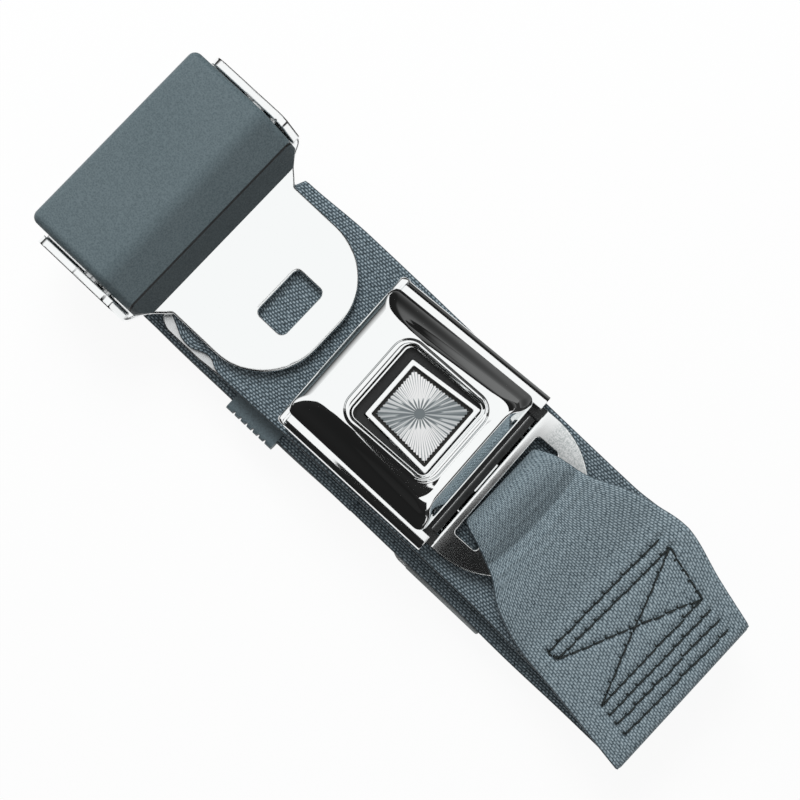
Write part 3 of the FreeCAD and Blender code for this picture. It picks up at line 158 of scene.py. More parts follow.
def bright_chrome(name, roughness, edge=None, worn_from=None, shaded_below=None):
    """Chrome plate on pressed steel: a near mirror with a faint orange-peel and handling marks.
    edge is the round on its pressed edges; past worn_from in X it is rubbed and mottled;
    below shaded_below in Z its colour is painted near black and dull: painted shade in the button's recess
    and in the gap round its sides."""
    made, tree, shader = new_material(name, metallic=1.0, roughness=roughness, base_color=srgb("#F6F8F8"))
    place = add(tree, "ShaderNodeTexCoord").outputs["Object"]
    split = add(tree, "ShaderNodeSeparateXYZ", links={"Vector": place})
    film = add(tree, "ShaderNodeTexNoise", {"Scale": 90.0, "Detail": 3.0}, {"Vector": place})
    rough = ramp(tree, film.outputs["Fac"], [
        (0.4, grey(roughness)),
        (0.8, grey(roughness + 0.03)),
    ])
    if worn_from is not None:
        marks = add(tree, "ShaderNodeTexNoise", {"Scale": 2400.0, "Detail": 6.0}, {"Vector": place})
        rubbed = ramp(tree, marks.outputs["Fac"], [(0.35, grey(0.05)), (0.7, grey(0.06))])
        wear_and_shade = past(tree, split.outputs["X"], worn_from, worn_from + 2.5 * MM)
        rough = maths(tree, "MAXIMUM", rough, maths(tree, "MULTIPLY", rubbed, wear_and_shade))
        dull = maths(tree, "MULTIPLY", past(tree, marks.outputs["Fac"], 0.35, 0.65), wear_and_shade)
        colour = ramp(tree, dull, [(0.0, srgb("#F6F8F8")), (1.0, srgb("#C2C8C8"))])
        tree.links.new(colour, shader.inputs["Base Color"])
    # Painted shade: below that height the chrome turns near black and dull, for the shade in the recess and
    # round the button's sides
    if shaded_below is not None:
        bare = past(tree, split.outputs["Z"], shaded_below - 0.05 * MM, shaded_below)
        colour = ramp(tree, bare, [(0.0, srgb("#14130F")), (1.0, srgb("#F6F8F8"))])
        tree.links.new(colour, shader.inputs["Base Color"])
        tree.links.new(bare, shader.inputs["Metallic"])
        painted = maths(tree, "MULTIPLY", maths(tree, "SUBTRACT", 1.0, bare), 0.5)
        rough = maths(tree, "MAXIMUM", rough, painted)
    tree.links.new(rough, shader.inputs["Roughness"])
    # Orange-peel of the pressing, about 4 mm across and only microns deep
    peel = add(tree, "ShaderNodeTexNoise", {"Scale": 240.0, "Detail": 2.0}, {"Vector": place})
    bump = add(tree, "ShaderNodeBump", {"Strength": 0.03, "Distance": 0.00004}, {
        "Height": peel.outputs["Fac"],
    })
    if edge:
        rounded = add(tree, "ShaderNodeBevel", {"Radius": edge, "samples": 8})
        tree.links.new(rounded.outputs["Normal"], bump.inputs["Normal"])
    tree.links.new(bump.outputs["Normal"], shader.inputs["Normal"])
    return made


def plated_steel():
    """Zinc-plated steel, tumbled: a soft grey shine with fine directionless marks."""
    made, tree, shader = new_material(
        "plated_steel", metallic=1.0, roughness=0.3, base_color=srgb("#D2D5D5"),
    )
    place = add(tree, "ShaderNodeTexCoord").outputs["Object"]
    marks = add(tree, "ShaderNodeTexNoise", {"Scale": 500.0, "Detail": 8.0}, {"Vector": place})
    rough = ramp(tree, marks.outputs["Fac"], [(0.3, grey(0.2)), (0.7, grey(0.42))])
    tree.links.new(rough, shader.inputs["Roughness"])
    colour = ramp(tree, marks.outputs["Fac"], [(0.3, srgb("#C6C9CA")), (0.7, srgb("#E2E4E4"))])
    tree.links.new(colour, shader.inputs["Base Color"])
    return made


def moulded_plastic(name, dark, light, grain_depth, seam=None):
    """Injection-moulded ABS with a fine spark-eroded grain, which breaks up its highlight.
    seam is the X of a mould parting groove, a narrow dip painted black as the shade in it; past it the
    steeper lip is painted darker, as shade."""
    made, tree, shader = new_material(name, roughness=0.52, ior=1.53)
    place = add(tree, "ShaderNodeTexCoord").outputs["Object"]
    # Grain pits about 0.4 mm across
    grain = add(tree, "ShaderNodeTexVoronoi", {"Scale": 2300.0, "feature": "SMOOTH_F1"}, {"Vector": place})
    fine = add(tree, "ShaderNodeTexNoise", {"Scale": 3200.0, "Detail": 3.0}, {"Vector": place})
    half_fine = maths(tree, "MULTIPLY", fine.outputs["Fac"], 0.5)
    height = maths(tree, "ADD", grain.outputs["Distance"], half_fine)
    pits = maths(tree, "ADD", maths(tree, "MULTIPLY", grain.outputs["Distance"], 0.8), fine.outputs["Fac"])
    colour = ramp(tree, pits, [(0.5, srgb(dark)), (1.1, srgb(light))])
    # Painted shade: black in the parting groove, and a darker colour on the steep lip past it
    if seam is not None:
        along = add(tree, "ShaderNodeSeparateXYZ", links={"Vector": place}).outputs["X"]
        lip = past(tree, along, seam, seam + 0.1 * MM)
        off = maths(tree, "ABSOLUTE", maths(tree, "SUBTRACT", along, seam))
        flat = past(tree, off, 0.12 * MM, 0.3 * MM)
        lip_shade = maths(tree, "SUBTRACT", 1.0, maths(tree, "MULTIPLY", lip, 0.45))
        groove_and_lip_shade = maths(tree, "MULTIPLY", lip_shade, flat)
        darker = add(tree, "ShaderNodeMix", {"data_type": "RGBA", "blend_type": "MULTIPLY"})
        darker.inputs["Factor"].default_value = 1.0
        tree.links.new(colour, darker.inputs[6])
        tree.links.new(groove_and_lip_shade, darker.inputs[7])
        colour = darker.outputs[2]
        height = maths(tree, "ADD", height, maths(tree, "MULTIPLY", flat, 4.0))
    tree.links.new(colour, shader.inputs["Base Color"])
    bump = add(tree, "ShaderNodeBump", {"Strength": 0.6, "Distance": grain_depth}, {"Height": height})
    tree.links.new(bump.outputs["Normal"], shader.inputs["Normal"])
    handled = add(tree, "ShaderNodeTexNoise", {"Scale": 40.0, "Detail": 3.0}, {"Vector": place})
    rough = ramp(tree, handled.outputs["Fac"], [(0.3, grey(0.46)), (0.7, grey(0.6))])
    tree.links.new(rough, shader.inputs["Roughness"])
    return made


# Webbing, in the millimetres of its UVs: from one warp yarn to the next, and the length of one dash
YARN_PITCH = 0.66
DASH_LENGTH = 1.15


def woven_polyester(name, dark, light, sheen):
    """Seat-belt webbing: tightly woven polyester, each warp yarn a short bright dash between dark gaps."""
    made, tree, shader = new_material(name, roughness=0.6, ior=1.5)
    shader.inputs["Sheen Weight"].default_value = sheen
    shader.inputs["Sheen Roughness"].default_value = 0.4
    shader.inputs["Sheen Tint"].default_value = srgb("#B8C4CA")
    uv = add(tree, "ShaderNodeTexCoord").outputs["UV"]
    split = add(tree, "ShaderNodeSeparateXYZ", links={"Vector": uv})
    # Each yarn's dashes come a third of a dash later than the last yarn's
    drift = add(tree, "ShaderNodeTexNoise", {"Scale": 0.35, "Detail": 3.0}, {"Vector": uv})
    across = maths(tree, "DIVIDE", split.outputs["X"], YARN_PITCH)
    yarn = maths(tree, "FLOOR", across)
    run = maths(tree, "DIVIDE", split.outputs["Y"], DASH_LENGTH)
    along = maths(tree, "ADD", run, maths(tree, "MULTIPLY", yarn, 0.37))
    along = maths(tree, "ADD", along, maths(tree, "MULTIPLY", drift.outputs["Fac"], 1.6))
    crown = maths(tree, "SINE", maths(tree, "MULTIPLY", maths(tree, "FRACT", across), math.pi))
    dash = maths(tree, "SINE", maths(tree, "MULTIPLY", maths(tree, "FRACT", along), math.pi))
    weave = maths(tree, "MULTIPLY", maths(tree, "POWER", crown, 1.3), maths(tree, "POWER", dash, 0.9))
    fibres = add(tree, "ShaderNodeTexNoise", {
        "Scale": 5.0,
        "Detail": 5.0,
        "Roughness": 0.7,
    }, {"Vector": uv})
    height = maths(tree, "ADD", weave, maths(tree, "MULTIPLY", fibres.outputs["Fac"], 0.25))
    bump = add(tree, "ShaderNodeBump", {"Strength": 0.8, "Distance": 0.00016}, {"Height": height})
    tree.links.new(bump.outputs["Normal"], shader.inputs["Normal"])
    # Painted shade: some yarns sit lower, and their shade is painted in as dark specks
    sunk = add(tree, "ShaderNodeTexNoise", {"Scale": 0.9, "Detail": 4.0}, {"Vector": uv})
    wear_and_shade = maths(tree, "MULTIPLY", maths(tree, "SUBTRACT", sunk.outputs["Fac"], 0.5), 0.7)
    # Painted shade and highlight: the gaps between yarns and the sunk yarns are painted darker, the yarn
    # crowns lighter
    shade = maths(tree, "MULTIPLY", weave, 0.8)
    shade = maths(tree, "ADD", shade, maths(tree, "MULTIPLY", fibres.outputs["Fac"], 0.3))
    shade = maths(tree, "ADD", shade, wear_and_shade)
    colour = ramp(tree, shade, [(0.1, srgb(dark)), (0.55, srgb(light)), (1.0, srgb("#A9B7BE"))])
    tree.links.new(colour, shader.inputs["Base Color"])
    return made


def sewing_thread():
    """Bonded polyester thread, twisted; painted near black, darker than its own grey, as the shade of the
    puckers and needle holes along it.
    """
    made, tree, shader = new_material("sewing_thread", roughness=0.55, base_color=srgb("#27302F"))
    place = add(tree, "ShaderNodeTexCoord").outputs["Object"]
    twist = add(tree, "ShaderNodeTexNoise", {"Scale": 3000.0, "Detail": 2.0}, {"Vector": place})
    bump = add(tree, "ShaderNodeBump", {"Strength": 0.5, "Distance": 0.0001}, {
        "Height": twist.outputs["Fac"],
    })
    tree.links.new(bump.outputs["Normal"], shader.inputs["Normal"])
    colour = ramp(tree, twist.outputs["Fac"], [(0.3, srgb("#0B0F0F")), (0.7, srgb("#232B2B"))])
    tree.links.new(colour, shader.inputs["Base Color"])
    return made


def starburst_foil():
    """Anodised foil, stamped with rays: grey petals round a grey dot, then fine rays out to the edge."""
    made, tree, shader = new_material("starburst_foil", metallic=0.6, roughness=0.38)
    place = add(tree, "ShaderNodeTexCoord").outputs["Object"]
    centre = on_buckle(2.35, -0.1, 0.0)
    local = add(tree, "ShaderNodeMapping", {
        "vector_type": "TEXTURE",
        "Location": (centre.x, centre.y, 0.0),
        "Rotation": (0.0, 0.0, BUCKLE_YAW),
        "Scale": (MM, MM, MM),
    }, {"Vector": place})
    split = add(tree, "ShaderNodeSeparateXYZ", links={"Vector": local.outputs["Vector"]})
    x, y = split.outputs["X"], split.outputs["Y"]
    squares = maths(tree, "ADD", maths(tree, "MULTIPLY", x, x), maths(tree, "MULTIPLY", y, y))
    radius = maths(tree, "SQRT", squares)
    angle = maths(tree, "ARCTAN2", y, x)
    # Painted shade: grey grows towards two opposite corners, where the stamped rays turn from the light
    toward = maths(tree, "MULTIPLY_ADD", maths(tree, "SINE", maths(tree, "MULTIPLY", angle, 2.0)), 0.5)
    toward.node.inputs[2].default_value = 0.5
    # 20 petals: full at the dot, pointed 4 to 6 mm out, longer where the grey grows
    petal = maths(tree, "ABSOLUTE", maths(tree, "SINE", maths(tree, "MULTIPLY", angle, 10.0)))
    reach = maths(tree, "ADD", maths(tree, "MULTIPLY", toward, 2.6), 4.0)
    petal_mark = maths(tree, "SUBTRACT", petal, maths(tree, "DIVIDE", radius, reach))
    petal_mark = maths(tree, "MULTIPLY", petal_mark, 5.0)
    petal_mark = maths(tree, "MINIMUM", maths(tree, "MAXIMUM", petal_mark, 0.0), 1.0)
    # 40 rays between them, and 80 fine ones that fade in towards the edge
    wave = maths(tree, "ABSOLUTE", maths(tree, "SINE", maths(tree, "MULTIPLY", angle, 20.0)))
    growing = maths(tree, "MULTIPLY", maths(tree, "MULTIPLY", radius, 0.26), toward)
    ray = maths(tree, "MULTIPLY", maths(tree, "SUBTRACT", wave, 0.5), growing)
    fine = maths(tree, "MULTIPLY", maths(tree, "SINE", maths(tree, "MULTIPLY", angle, 84.0)), 0.35)
    fine = maths(tree, "MULTIPLY", fine, maths(tree, "MULTIPLY", radius, 0.16))
    rays = maths(tree, "MAXIMUM", maths(tree, "ADD", ray, fine), 0.0)
    corner_shade = maths(tree, "MULTIPLY", maths(tree, "POWER", toward, 2.0), 0.42)
    dot = maths(tree, "LESS_THAN", radius, 1.35)
    marks = maths(tree, "MAXIMUM", petal_mark, maths(tree, "ADD", rays, corner_shade))
    marks = maths(tree, "MAXIMUM", marks, dot)
    marks = maths(tree, "MINIMUM", marks, 1.0)
    colour = ramp(tree, marks, [(0.0, srgb("#FBFBFB")), (0.5, srgb("#AEB4B6")), (1.0, srgb("#757D80"))])
    tree.links.new(colour, shader.inputs["Base Color"])
    bump = add(tree, "ShaderNodeBump", {
        "Strength": 0.3,
        "Distance": 0.00006,
        "invert": True,
    }, {"Height": marks})
    tree.links.new(bump.outputs["Normal"], shader.inputs["Normal"])
    return made


# Meshes


def mesh_object(name, points, faces, uvs=None):
    """A mesh object from points and faces; uvs are one pair for each point."""
    mesh = bpy.data.meshes.new(name)
    mesh.from_pydata([tuple(p) for p in points], [], faces)
    if uvs:
        layer = mesh.uv_layers.new(name="weave")
        for loop in mesh.loops:
            layer.data[loop.index].uv = uvs[loop.vertex_index]
    mesh.validate()
    mesh.update()
    for polygon in mesh.polygons:
        polygon.use_smooth = True
    made = bpy.data.objects.new(name, mesh)
    bpy.context.scene.collection.objects.link(made)
    return made


def set_material(item, material):
    item.data.materials.clear()
    item.data.materials.append(material)


def route_stations(route, step):
    """Points and directions every step along a route of (x, z, radius) corners with round bends."""
    corners = [Vector((p[0], p[1])) for p in route]
    pieces = []
    start = corners[0]
    for i in range(1, len(corners) - 1):
        here = corners[i]
        back = (corners[i - 1] - here).normalized()
        ahead = (corners[i + 1] - here).normalized()
        radius = route[i][2] if len(route[i]) > 2 else 0.0
        angle = back.angle(ahead)
        reach = radius / math.tan(angle / 2) if radius else 0.0
        enter = here + back * reach
        leave = here + ahead * reach
        pieces.append((start, enter))
        if radius:
            middle = here + (back + ahead).normalized() * (radius / math.sin(angle / 2))
            sweep = math.pi - angle
            a = enter - middle
            turn = 1.0 if a.cross(leave - middle) > 0 else -1.0
            count = max(6, int(sweep * radius / (step * 0.7)) + 1)
            last = enter
            for k in range(1, count + 1):
                part = sweep * k / count * turn
                point = middle + Matrix.Rotation(part, 2) @ a
                pieces.append((last, point))
                last = point
        start = leave
    pieces.append((start, corners[-1]))
    stations = [pieces[0][0]]
    for first, last in pieces:
        length = (last - first).length
        count = max(1, int(length / step + 0.5))
        if length < 1e-9:
            continue
        for k in range(1, count + 1):
            stations.append(first.lerp(last, k / count))
    directions = []
    for i in range(len(stations)):
        before = stations[max(i - 1, 0)]
        after = stations[min(i + 1, len(stations) - 1)]
        directions.append((after - before).normalized())
    return stations, directions


def strap(name, route, edges, step=1.0 * MM, columns=48, shape=None):
    """A band of webbing along a route. edges(x, run) gives its low and high Y;
    shape(x, y, share, run) lifts its surface; run is the length so far."""
    stations, directions = route_stations(route, step)
    points, uvs = [], []
    run = 0.0
    rim = []
    # The section: top side, round edge, underside, round edge
    for k in range(columns + 1):
        rim.append((k / columns, 1.0))
    rim.append((1.0, 0.0))
    for k in range(columns, -1, -1):
        rim.append((k / columns, -1.0))
    rim.append((0.0, 0.0))
    count = len(rim)
    for i, (place, direction) in enumerate(zip(stations, directions)):
        if i:
            run += (place - stations[i - 1]).length
        normal = Vector((-direction.y, direction.x))
        low, high = edges(place.x, run)
        width = high - low
        for share, side in rim:
            y = low + width * share
            near_edge = min(share, 1 - share) * width
            thin = HALF if near_edge > 0.7 * MM else HALF * (0.72 if side else 1.0)
            if side == 0.0:
                y += (0.22 if share > 0.5 else -0.22) * MM
            lift = shape(place.x, y, share, run) if shape else 0.0
            x = place.x + normal.x * (side * thin + lift)
            z = place.y + normal.y * (side * thin + lift)
            points.append((x, y, z))
            uvs.append((share * WEB_WIDTH / MM, run / MM))
    faces = []
    for i in range(len(stations) - 1):
        for k in range(count):
            a = i * count + k
            b = i * count + (k + 1) % count
            faces.append((a, b, b + count, a + count))
    faces.append(tuple(reversed(range(count))))
    last = (len(stations) - 1) * count
    faces.append(tuple(range(last, last + count)))
    made = mesh_object(name, points, faces, uvs)
    made["length"] = run
    return made


def spread(x, table):
    """A value read between (x, value) pairs, smoothly."""
    if x <= table[0][0]:
        return table[0][1]
    for (x0, v0), (x1, v1) in zip(table, table[1:]):
        if x <= x1:
            t = (x - x0) / (x1 - x0)
            t = t * t * (3 - 2 * t)
            return v0 + (v1 - v0) * t
    return table[-1][1]


# The materials of this belt

CHROME = bright_chrome("chrome_plate", 0.04)
STEEL = plated_steel()
COVER_PLASTIC = moulded_plastic("grey_moulded_plastic", "#445257", "#5B696E", 0.00007, seam=-66.5 * MM)
KEEPER_PLASTIC = moulded_plastic("keeper_plastic", "#4A575C", "#5F6D73", 0.00005)
BLACK_PLASTIC = moulded_plastic("black_moulded_plastic", "#101112", "#1B1D1E", 0.00003)
WEBBING = woven_polyester("grey_webbing", "#35424A", "#84959D", 0.25)
# The same webbing painted darker: painted shade for the runs that lie under other runs and the hardware
SHADED_LOWER_WEBBING = woven_polyester("lower_webbing_painted_shade", "#20292E", "#61717A", 0.2)
THREAD = sewing_thread()
TAB_CLOTH = woven_polyester("bare_tab_cloth", "#8E9394", "#C6CACA", 0.1)

set_material(NODES["tongue_plate"], bright_chrome("tongue_chrome", 0.04, edge=0.8 * MM))
set_material(NODES["buckle_frame"], bright_chrome("frame_chrome", 0.04, edge=0.4 * MM, worn_from=29.5 * MM))
button_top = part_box("push_button")[1].z
set_material(NODES["push_button"], bright_chrome(
    "button_chrome", 0.06, edge=0.25 * MM, shaded_below=button_top - 0.35 * MM,
))
for node in (
    "lap_anchor_plate", "buckle_anchor_plate", "cover_pins", "lock_bar", "lock_bar_spring",
    "latch_plate", "latch_pin", "latch_spring", "ejector_spring",
):
    set_material(NODES[node], STEEL)
set_material(NODES["adjuster_cover"], COVER_PLASTIC)
set_material(NODES["web_keeper"], KEEPER_PLASTIC)
for node in ("button_well", "rear_guides", "ejector"):
    set_material(NODES[node], BLACK_PLASTIC)
set_material(NODES["bare_tab"], TAB_CLOTH)
set_material(NODES["button_insert"], starburst_foil())


# The lower webbing: three runs, two folds and the loop on the anchor

STACK_SIDE = -3.0 * MM
FOLD_FRONT = 99.5 * MM
FOLD_INSET = 4.0 * MM
REAR_BEND_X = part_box("load_web_bend")[1].x
ADJUSTER_REAR = -99.5 * MM
LAP_ANCHOR_X = 20.0 * MM


def as_lower_run(made, node):
    """One full-width run of the stack: webbing in place of its plain solid, painted darker than the top
    webbing as the shade under the runs and hardware above it.
    """
    set_material(made, SHADED_LOWER_WEBBING)
    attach(made, "folded_belt")
    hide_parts(node)


def make_lap_strap():
    """The adjuster's webbing in the stack."""
    right = FOLD_FRONT - FOLD_INSET - HALF
    left = ADJUSTER_REAR + FOLD_INSET + HALF
    first = FIRST_RUN_Z + HALF
    second = SECOND_RUN_Z + HALF
    over = OVER_BAR_Z + HALF
    lap = WEB_THICK * 1.5 + LAYER_GAP
    up = LAP_ANCHOR_X + 8.56 * MM
    route = [
        (REAR_BEND_X + 6.0 * MM, first),
        (right, first, (first - second) / 2 * 0.999),
        (right, second, (first - second) / 2 * 0.999),
        (left, second, (second - HALF) / 2 * 0.999),
        (left, HALF, (second - HALF) / 2 * 0.999),
        (up, HALF, 1.5 * MM),
        (up, over, 1.5 * MM),
        (LAP_ANCHOR_X - 1.0 * MM, over, 3.0 * MM),
        (LAP_ANCHOR_X - 6.0 * MM, lap, 3.0 * MM),
        (LAP_ANCHOR_X - 51.0 * MM, lap),
    ]
    straight_end = (right - route[0][0]) + (right - left)

    def edges(x, run):
        half = WEB_WIDTH / 2
        if run > straight_end + 20 * MM and x > LAP_ANCHOR_X - 14 * MM:
            half = spread(x, [(LAP_ANCHOR_X - 14 * MM, half), (LAP_ANCHOR_X, 19.3 * MM)])
        sway = 0.35 * MM * math.sin(x / (17 * MM)) + 0.2 * MM * math.sin(x / (6.1 * MM) + 1.0)
        return STACK_SIDE - half + sway * 0.5, STACK_SIDE + half + sway * 0.5

    made = strap("lap_strap", route, edges, step=2.0 * MM, columns=40)
    as_lower_run(made, "lap_web")
    return made


def make_tail():
    """The loose end under the keeper, with its sewn hem."""
    z = TAIL_Z + HALF
    start = REAR_BEND_X + 6.0 * MM
    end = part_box("web_tail")[1].x
    route = [(start, z), (end, z)]

    def edges(_x, _run):
        return STACK_SIDE - WEB_WIDTH / 2, STACK_SIDE + WEB_WIDTH / 2

    def hem(x, _y, _share, _run):
        return 0.12 * MM if x > end - 12 * MM else 0.0

    made = strap("tail_strap", route, edges, step=1.5 * MM, columns=40, shape=hem)
    as_lower_run(made, "web_tail")
    return made


def make_adjuster_strap():
    """From the stack round the outer bend, through the adjuster, and back round the inner bend."""
    load = PLATE_TOP_Z + SOFT_GAP + HALF
    tail = HARDWARE_Z - SOFT_GAP - HALF
    first = FIRST_RUN_Z + HALF
    last = TAIL_Z + HALF
    bar_low, bar_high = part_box("lock_bar")
    bar_x = (bar_low.x + bar_high.x) / 2
    bar_z = (bar_low.z + bar_high.z) / 2
    reach = (bar_high.z - bar_low.z) / 2 + SOFT_GAP + HALF
    window_x = ADJUSTER_REAR + 10.6 * MM
    outer = (load - first) / 2
    inner = (tail - last) / 2
    x = REAR_BEND_X
    route = [
        (x + 6.0 * MM, first),
        (x - outer, first, outer * 0.999),
        (x - outer, load, outer * 0.999),
        (window_x - 1.9 * MM, load, 1.4 * MM),
        (window_x + 0.9 * MM, bar_z + reach, 2.2 * MM),
        (bar_x + reach, bar_z + reach, reach),
        (bar_x + reach, tail, 1.5 * MM),
        (x - inner, tail, inner * 0.999),
        (x - inner, last, inner * 0.999),
        (x + 6.0 * MM, last),
    ]

    def edges(_x, run):
        share = min(run / (20 * MM), 1.0)
        middle = STACK_SIDE * (1 - share)
        total = 94 * MM
        if run > total - 20 * MM:
            middle = STACK_SIDE * min((run - total + 20 * MM) / (20 * MM), 1.0)
        return middle - WEB_WIDTH / 2, middle + WEB_WIDTH / 2

    made = strap("adjuster_strap", route, edges, step=0.8 * MM, columns=40)
    set_material(made, WEBBING)
    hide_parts("load_web_bend", "tail_web_bend", "adjuster_web")
    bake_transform(made)
    return made


# The buckle's webbing

SEWN_START = 64.0 * MM
SIDE_LOW = [
    (30.0, -9.2), (32.5, -10.6), (37.6, -12.4), (44.2, -15.2), (49.9, -19.4), (56.5, -22.2), (63.0, -23.8),
    (76.0, -25.4), (101.0, -28.9),
]
SIDE_HIGH = [
    (30.0, 14.4), (34.6, 16.8), (38.1, 17.7), (45.3, 19.3), (53.7, 23.1), (63.1, 25.9), (72.3, 26.9),
    (86.1, 22.8), (101.0, 18.9),
]


def along_curve(x, table):
    """A value read off the smooth curve through (x, value) pairs."""
    if x <= table[0][0]:
        return table[0][1]
    for i in range(len(table) - 1):
        if x <= table[i + 1][0]:
            (x0, v0), (x1, v1) = table[i], table[i + 1]
            before = table[max(i - 1, 0)]
            after = table[min(i + 2, len(table) - 1)]
            slope0 = (v1 - before[1]) / (x1 - before[0])
            slope1 = (after[1] - v0) / (after[0] - x0)
            t = (x - x0) / (x1 - x0)
            span = x1 - x0
            return (
                v0 * (2 * t ** 3 - 3 * t ** 2 + 1) + v1 * (3 * t ** 2 - 2 * t ** 3)
                + span * (slope0 * (t ** 3 - 2 * t ** 2 + t) + slope1 * (t ** 3 - t ** 2))
            )
    return table[-1][1]


def upper_edges(x):
    return along_curve(x / MM, SIDE_LOW) * MM, along_curve(x / MM, SIDE_HIGH) * MM


def stitch_lines():
    """Stitch runs on the sewn strap as (x, y) ends in millimetres, as seen from above."""
    return [
        ((67.2, -19.4), (68.2, 20.2)),
        ((70.0, -19.1), (71.6, 20.4)),
        ((67.2, -19.4), (70.0, -19.1)),
        ((70.0, -19.1), (85.9, 16.2)),
        ((71.6, 20.4), (85.6, -20.1)),
        ((71.6, 20.4), (86.4, 16.4)),
        ((85.6, -20.1), (86.2, 16.4)),
        ((88.6, -20.5), (89.4, 16.2)),
        ((91.6, -20.9), (92.6, 15.9)),
        ((94.6, -21.3), (95.8, 15.5)),
    ]


def distance_to_line(x, y, line):
    """Distance in millimetres from a point to a stitch run, and how far along the run it is."""
    (x0, y0), (x1, y1) = line
    dx, dy = x1 - x0, y1 - y0
    length = math.hypot(dx, dy)
    t = ((x - x0) * dx + (y - y0) * dy) / (length * length)
    t = min(max(t, 0.0), 1.0)
    return math.hypot(x - x0 - dx * t, y - y0 - dy * t), t * length


# Length of one stitch, in millimetres
STITCH = 3.3


def puckers(x, y):
    """How far the stitches pull the webbing in, most at their holes, with a swell between; in metres."""
    pull = 0.0
    for line in stitch_lines():
        near, run = distance_to_line(x / MM, y / MM, line)
        if near < 3.2:
            off_hole = abs((run / STITCH + 0.5) % 1.0 - 0.5) * STITCH
            hole = math.exp(-(near / 1.1) ** 2 - (off_hole / 0.6) ** 2)
            pull = max(pull, hole, 0.45 * math.exp(-(near / 0.75) ** 2))
    swell = 0.16 * noise.noise(Vector((x / MM / 2.4, y / MM / 2.8, 3.0)))
    return (-0.85 * pull + (swell if x > 66 * MM else 0.0)) * MM


def make_sewn_strap():
    """From the doubled-back end, round the tang, over the sewn part and the fold, to the run below."""
    top = SEWN_TOP_Z + HALF
    under = UNDER_LAP_Z + HALF
    run_z = TOP_RUN_Z + HALF
    loop_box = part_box("tang_loop")
    over = loop_box[1].z - HALF
    down = loop_box[0].x + HALF
    swell = 1.1 * MM
    tang_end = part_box("buckle_frame")[1].x
    fold = (top - run_z) / 2
    right = FOLD_FRONT - HALF
    route = [
        (92.0 * MM, under),
        (down, under, 1.6 * MM),
        (down, over + swell, 2.6 * MM),
        (down + 9.0 * MM, over + swell, 12.0 * MM),
        (tang_end + 1.0 * MM, over + 0.1 * MM, 12.0 * MM),
        (SEWN_START - 1.0 * MM, top, 9.0 * MM),
        (right, top, fold * 0.999),
        (right, run_z, fold * 0.999),
        (SEWN_START + 4.0 * MM, run_z),
    ]
    loop_start = (92.0 * MM - down) + 3.5 * MM

    def edges(x, _run):
        return upper_edges(x)

    def shape(x, y, share, run):
        if run < loop_start:
            return 0.0
        lift = 0.0
        if x > SEWN_START + 2 * MM and run < loop_start + 66 * MM:
            lift += puckers(x, y)
        if run < loop_start + 40 * MM:
            # The bunched webbing bows towards the buckle, then dips in bands that follow the bow
            bow = 1.0 - (2 * share - 1) ** 2
            rise = min((run - loop_start) / (2.5 * MM), 1.0)
            away = run - loop_start - 1.5 * MM * bow
            past_bow = max(run - loop_start - 4 * MM, 0.0) / (4.5 * MM)
            lift += (0.6 + 2.6 * bow) * MM * rise * math.exp(-past_bow ** 2)
            lift -= 1.1 * MM * math.exp(-((away - 10.5 * MM) / (2.0 * MM)) ** 2) * rise
            ripple = math.sin(away / MM * 2.9 + 3 * noise.noise(Vector((share * 3, 0.0, away / MM * 0.2))))
            lift += 0.16 * MM * ripple * math.exp(-((away - 12.0 * MM) / (5.0 * MM)) ** 2) * rise
            # Both sides roll down
            side = max(abs(2 * share - 1) - 0.8, 0.0) / 0.2
            lift -= 0.5 * MM * side * side * rise
        return lift

    made = strap("sewn_strap", route, edges, step=0.45 * MM, columns=100, shape=shape)
    set_material(made, WEBBING)
    return made


def add_thread(points, faces, start, end, radius, level, bow):
    """One piece of thread between two holes, as a bowed and tapered tube; places in metres."""
    sides, rings = 6, 7
    direction = (end - start).normalized()
    across = Vector((-direction.y, direction.x))
    base = len(points)
    for r in range(rings):
        t = r / (rings - 1)
        middle = start.lerp(end, t)
        swell = math.sin(math.pi * t)
        for side in range(sides):
            angle = 2 * math.pi * side / sides
            thick = radius * (0.6 + 0.4 * swell)
            points.append((
                middle.x + across.x * thick * math.cos(angle),
                middle.y + across.y * thick * math.cos(angle),
                level + bow * swell ** 0.6 + thick * math.sin(angle),
            ))
    for r in range(rings - 1):
        for side in range(sides):
            a = base + r * sides + side
            b = base + r * sides + (side + 1) % sides
            faces.append((a, b, b + sides, a + sides))
    faces.append(tuple(base + side for side in reversed(range(sides))))
    faces.append(tuple(base + (rings - 1) * sides + side for side in range(sides)))


def make_stitches(owner_height):
    """The dark thread: one raised stitch after another, and at each hole a short dark tick of thread out
    sideways, a painted shadow of the pucker there.
    """
    points, faces = [], []
    level = owner_height - 0.5 * MM
    for number, line in enumerate(stitch_lines()):
        first, last = Vector(line[0]), Vector(line[1])
        length = (last - first).length
        count = max(2, round(length / STITCH))
        direction = (last - first).normalized()
        across = Vector((-direction.y, direction.x))
        if across.x > 0:
            across = -across
        for k in range(count):
            jitter = noise.noise(Vector((number * 3.1, k * 1.7, 0.5)))
            start = first.lerp(last, (k + 0.04) / count) + across * jitter * 0.4
            end = first.lerp(last, (k + 0.96) / count) + across * jitter * 0.2
            add_thread(points, faces, start * MM, end * MM, 0.27 * MM, level, 0.42 * MM)
            # Painted shadow: a short dark tick of thread at each hole, for the shadow of the pucker there
            shadow_tick = start + across * (0.75 + 0.5 * jitter) + direction * 0.25
            add_thread(points, faces, start * MM, shadow_tick * MM, 0.22 * MM, level + 0.08 * MM, 0.28 * MM)
    made = mesh_object("stitching", points, faces)
    set_material(made, THREAD)
    return made


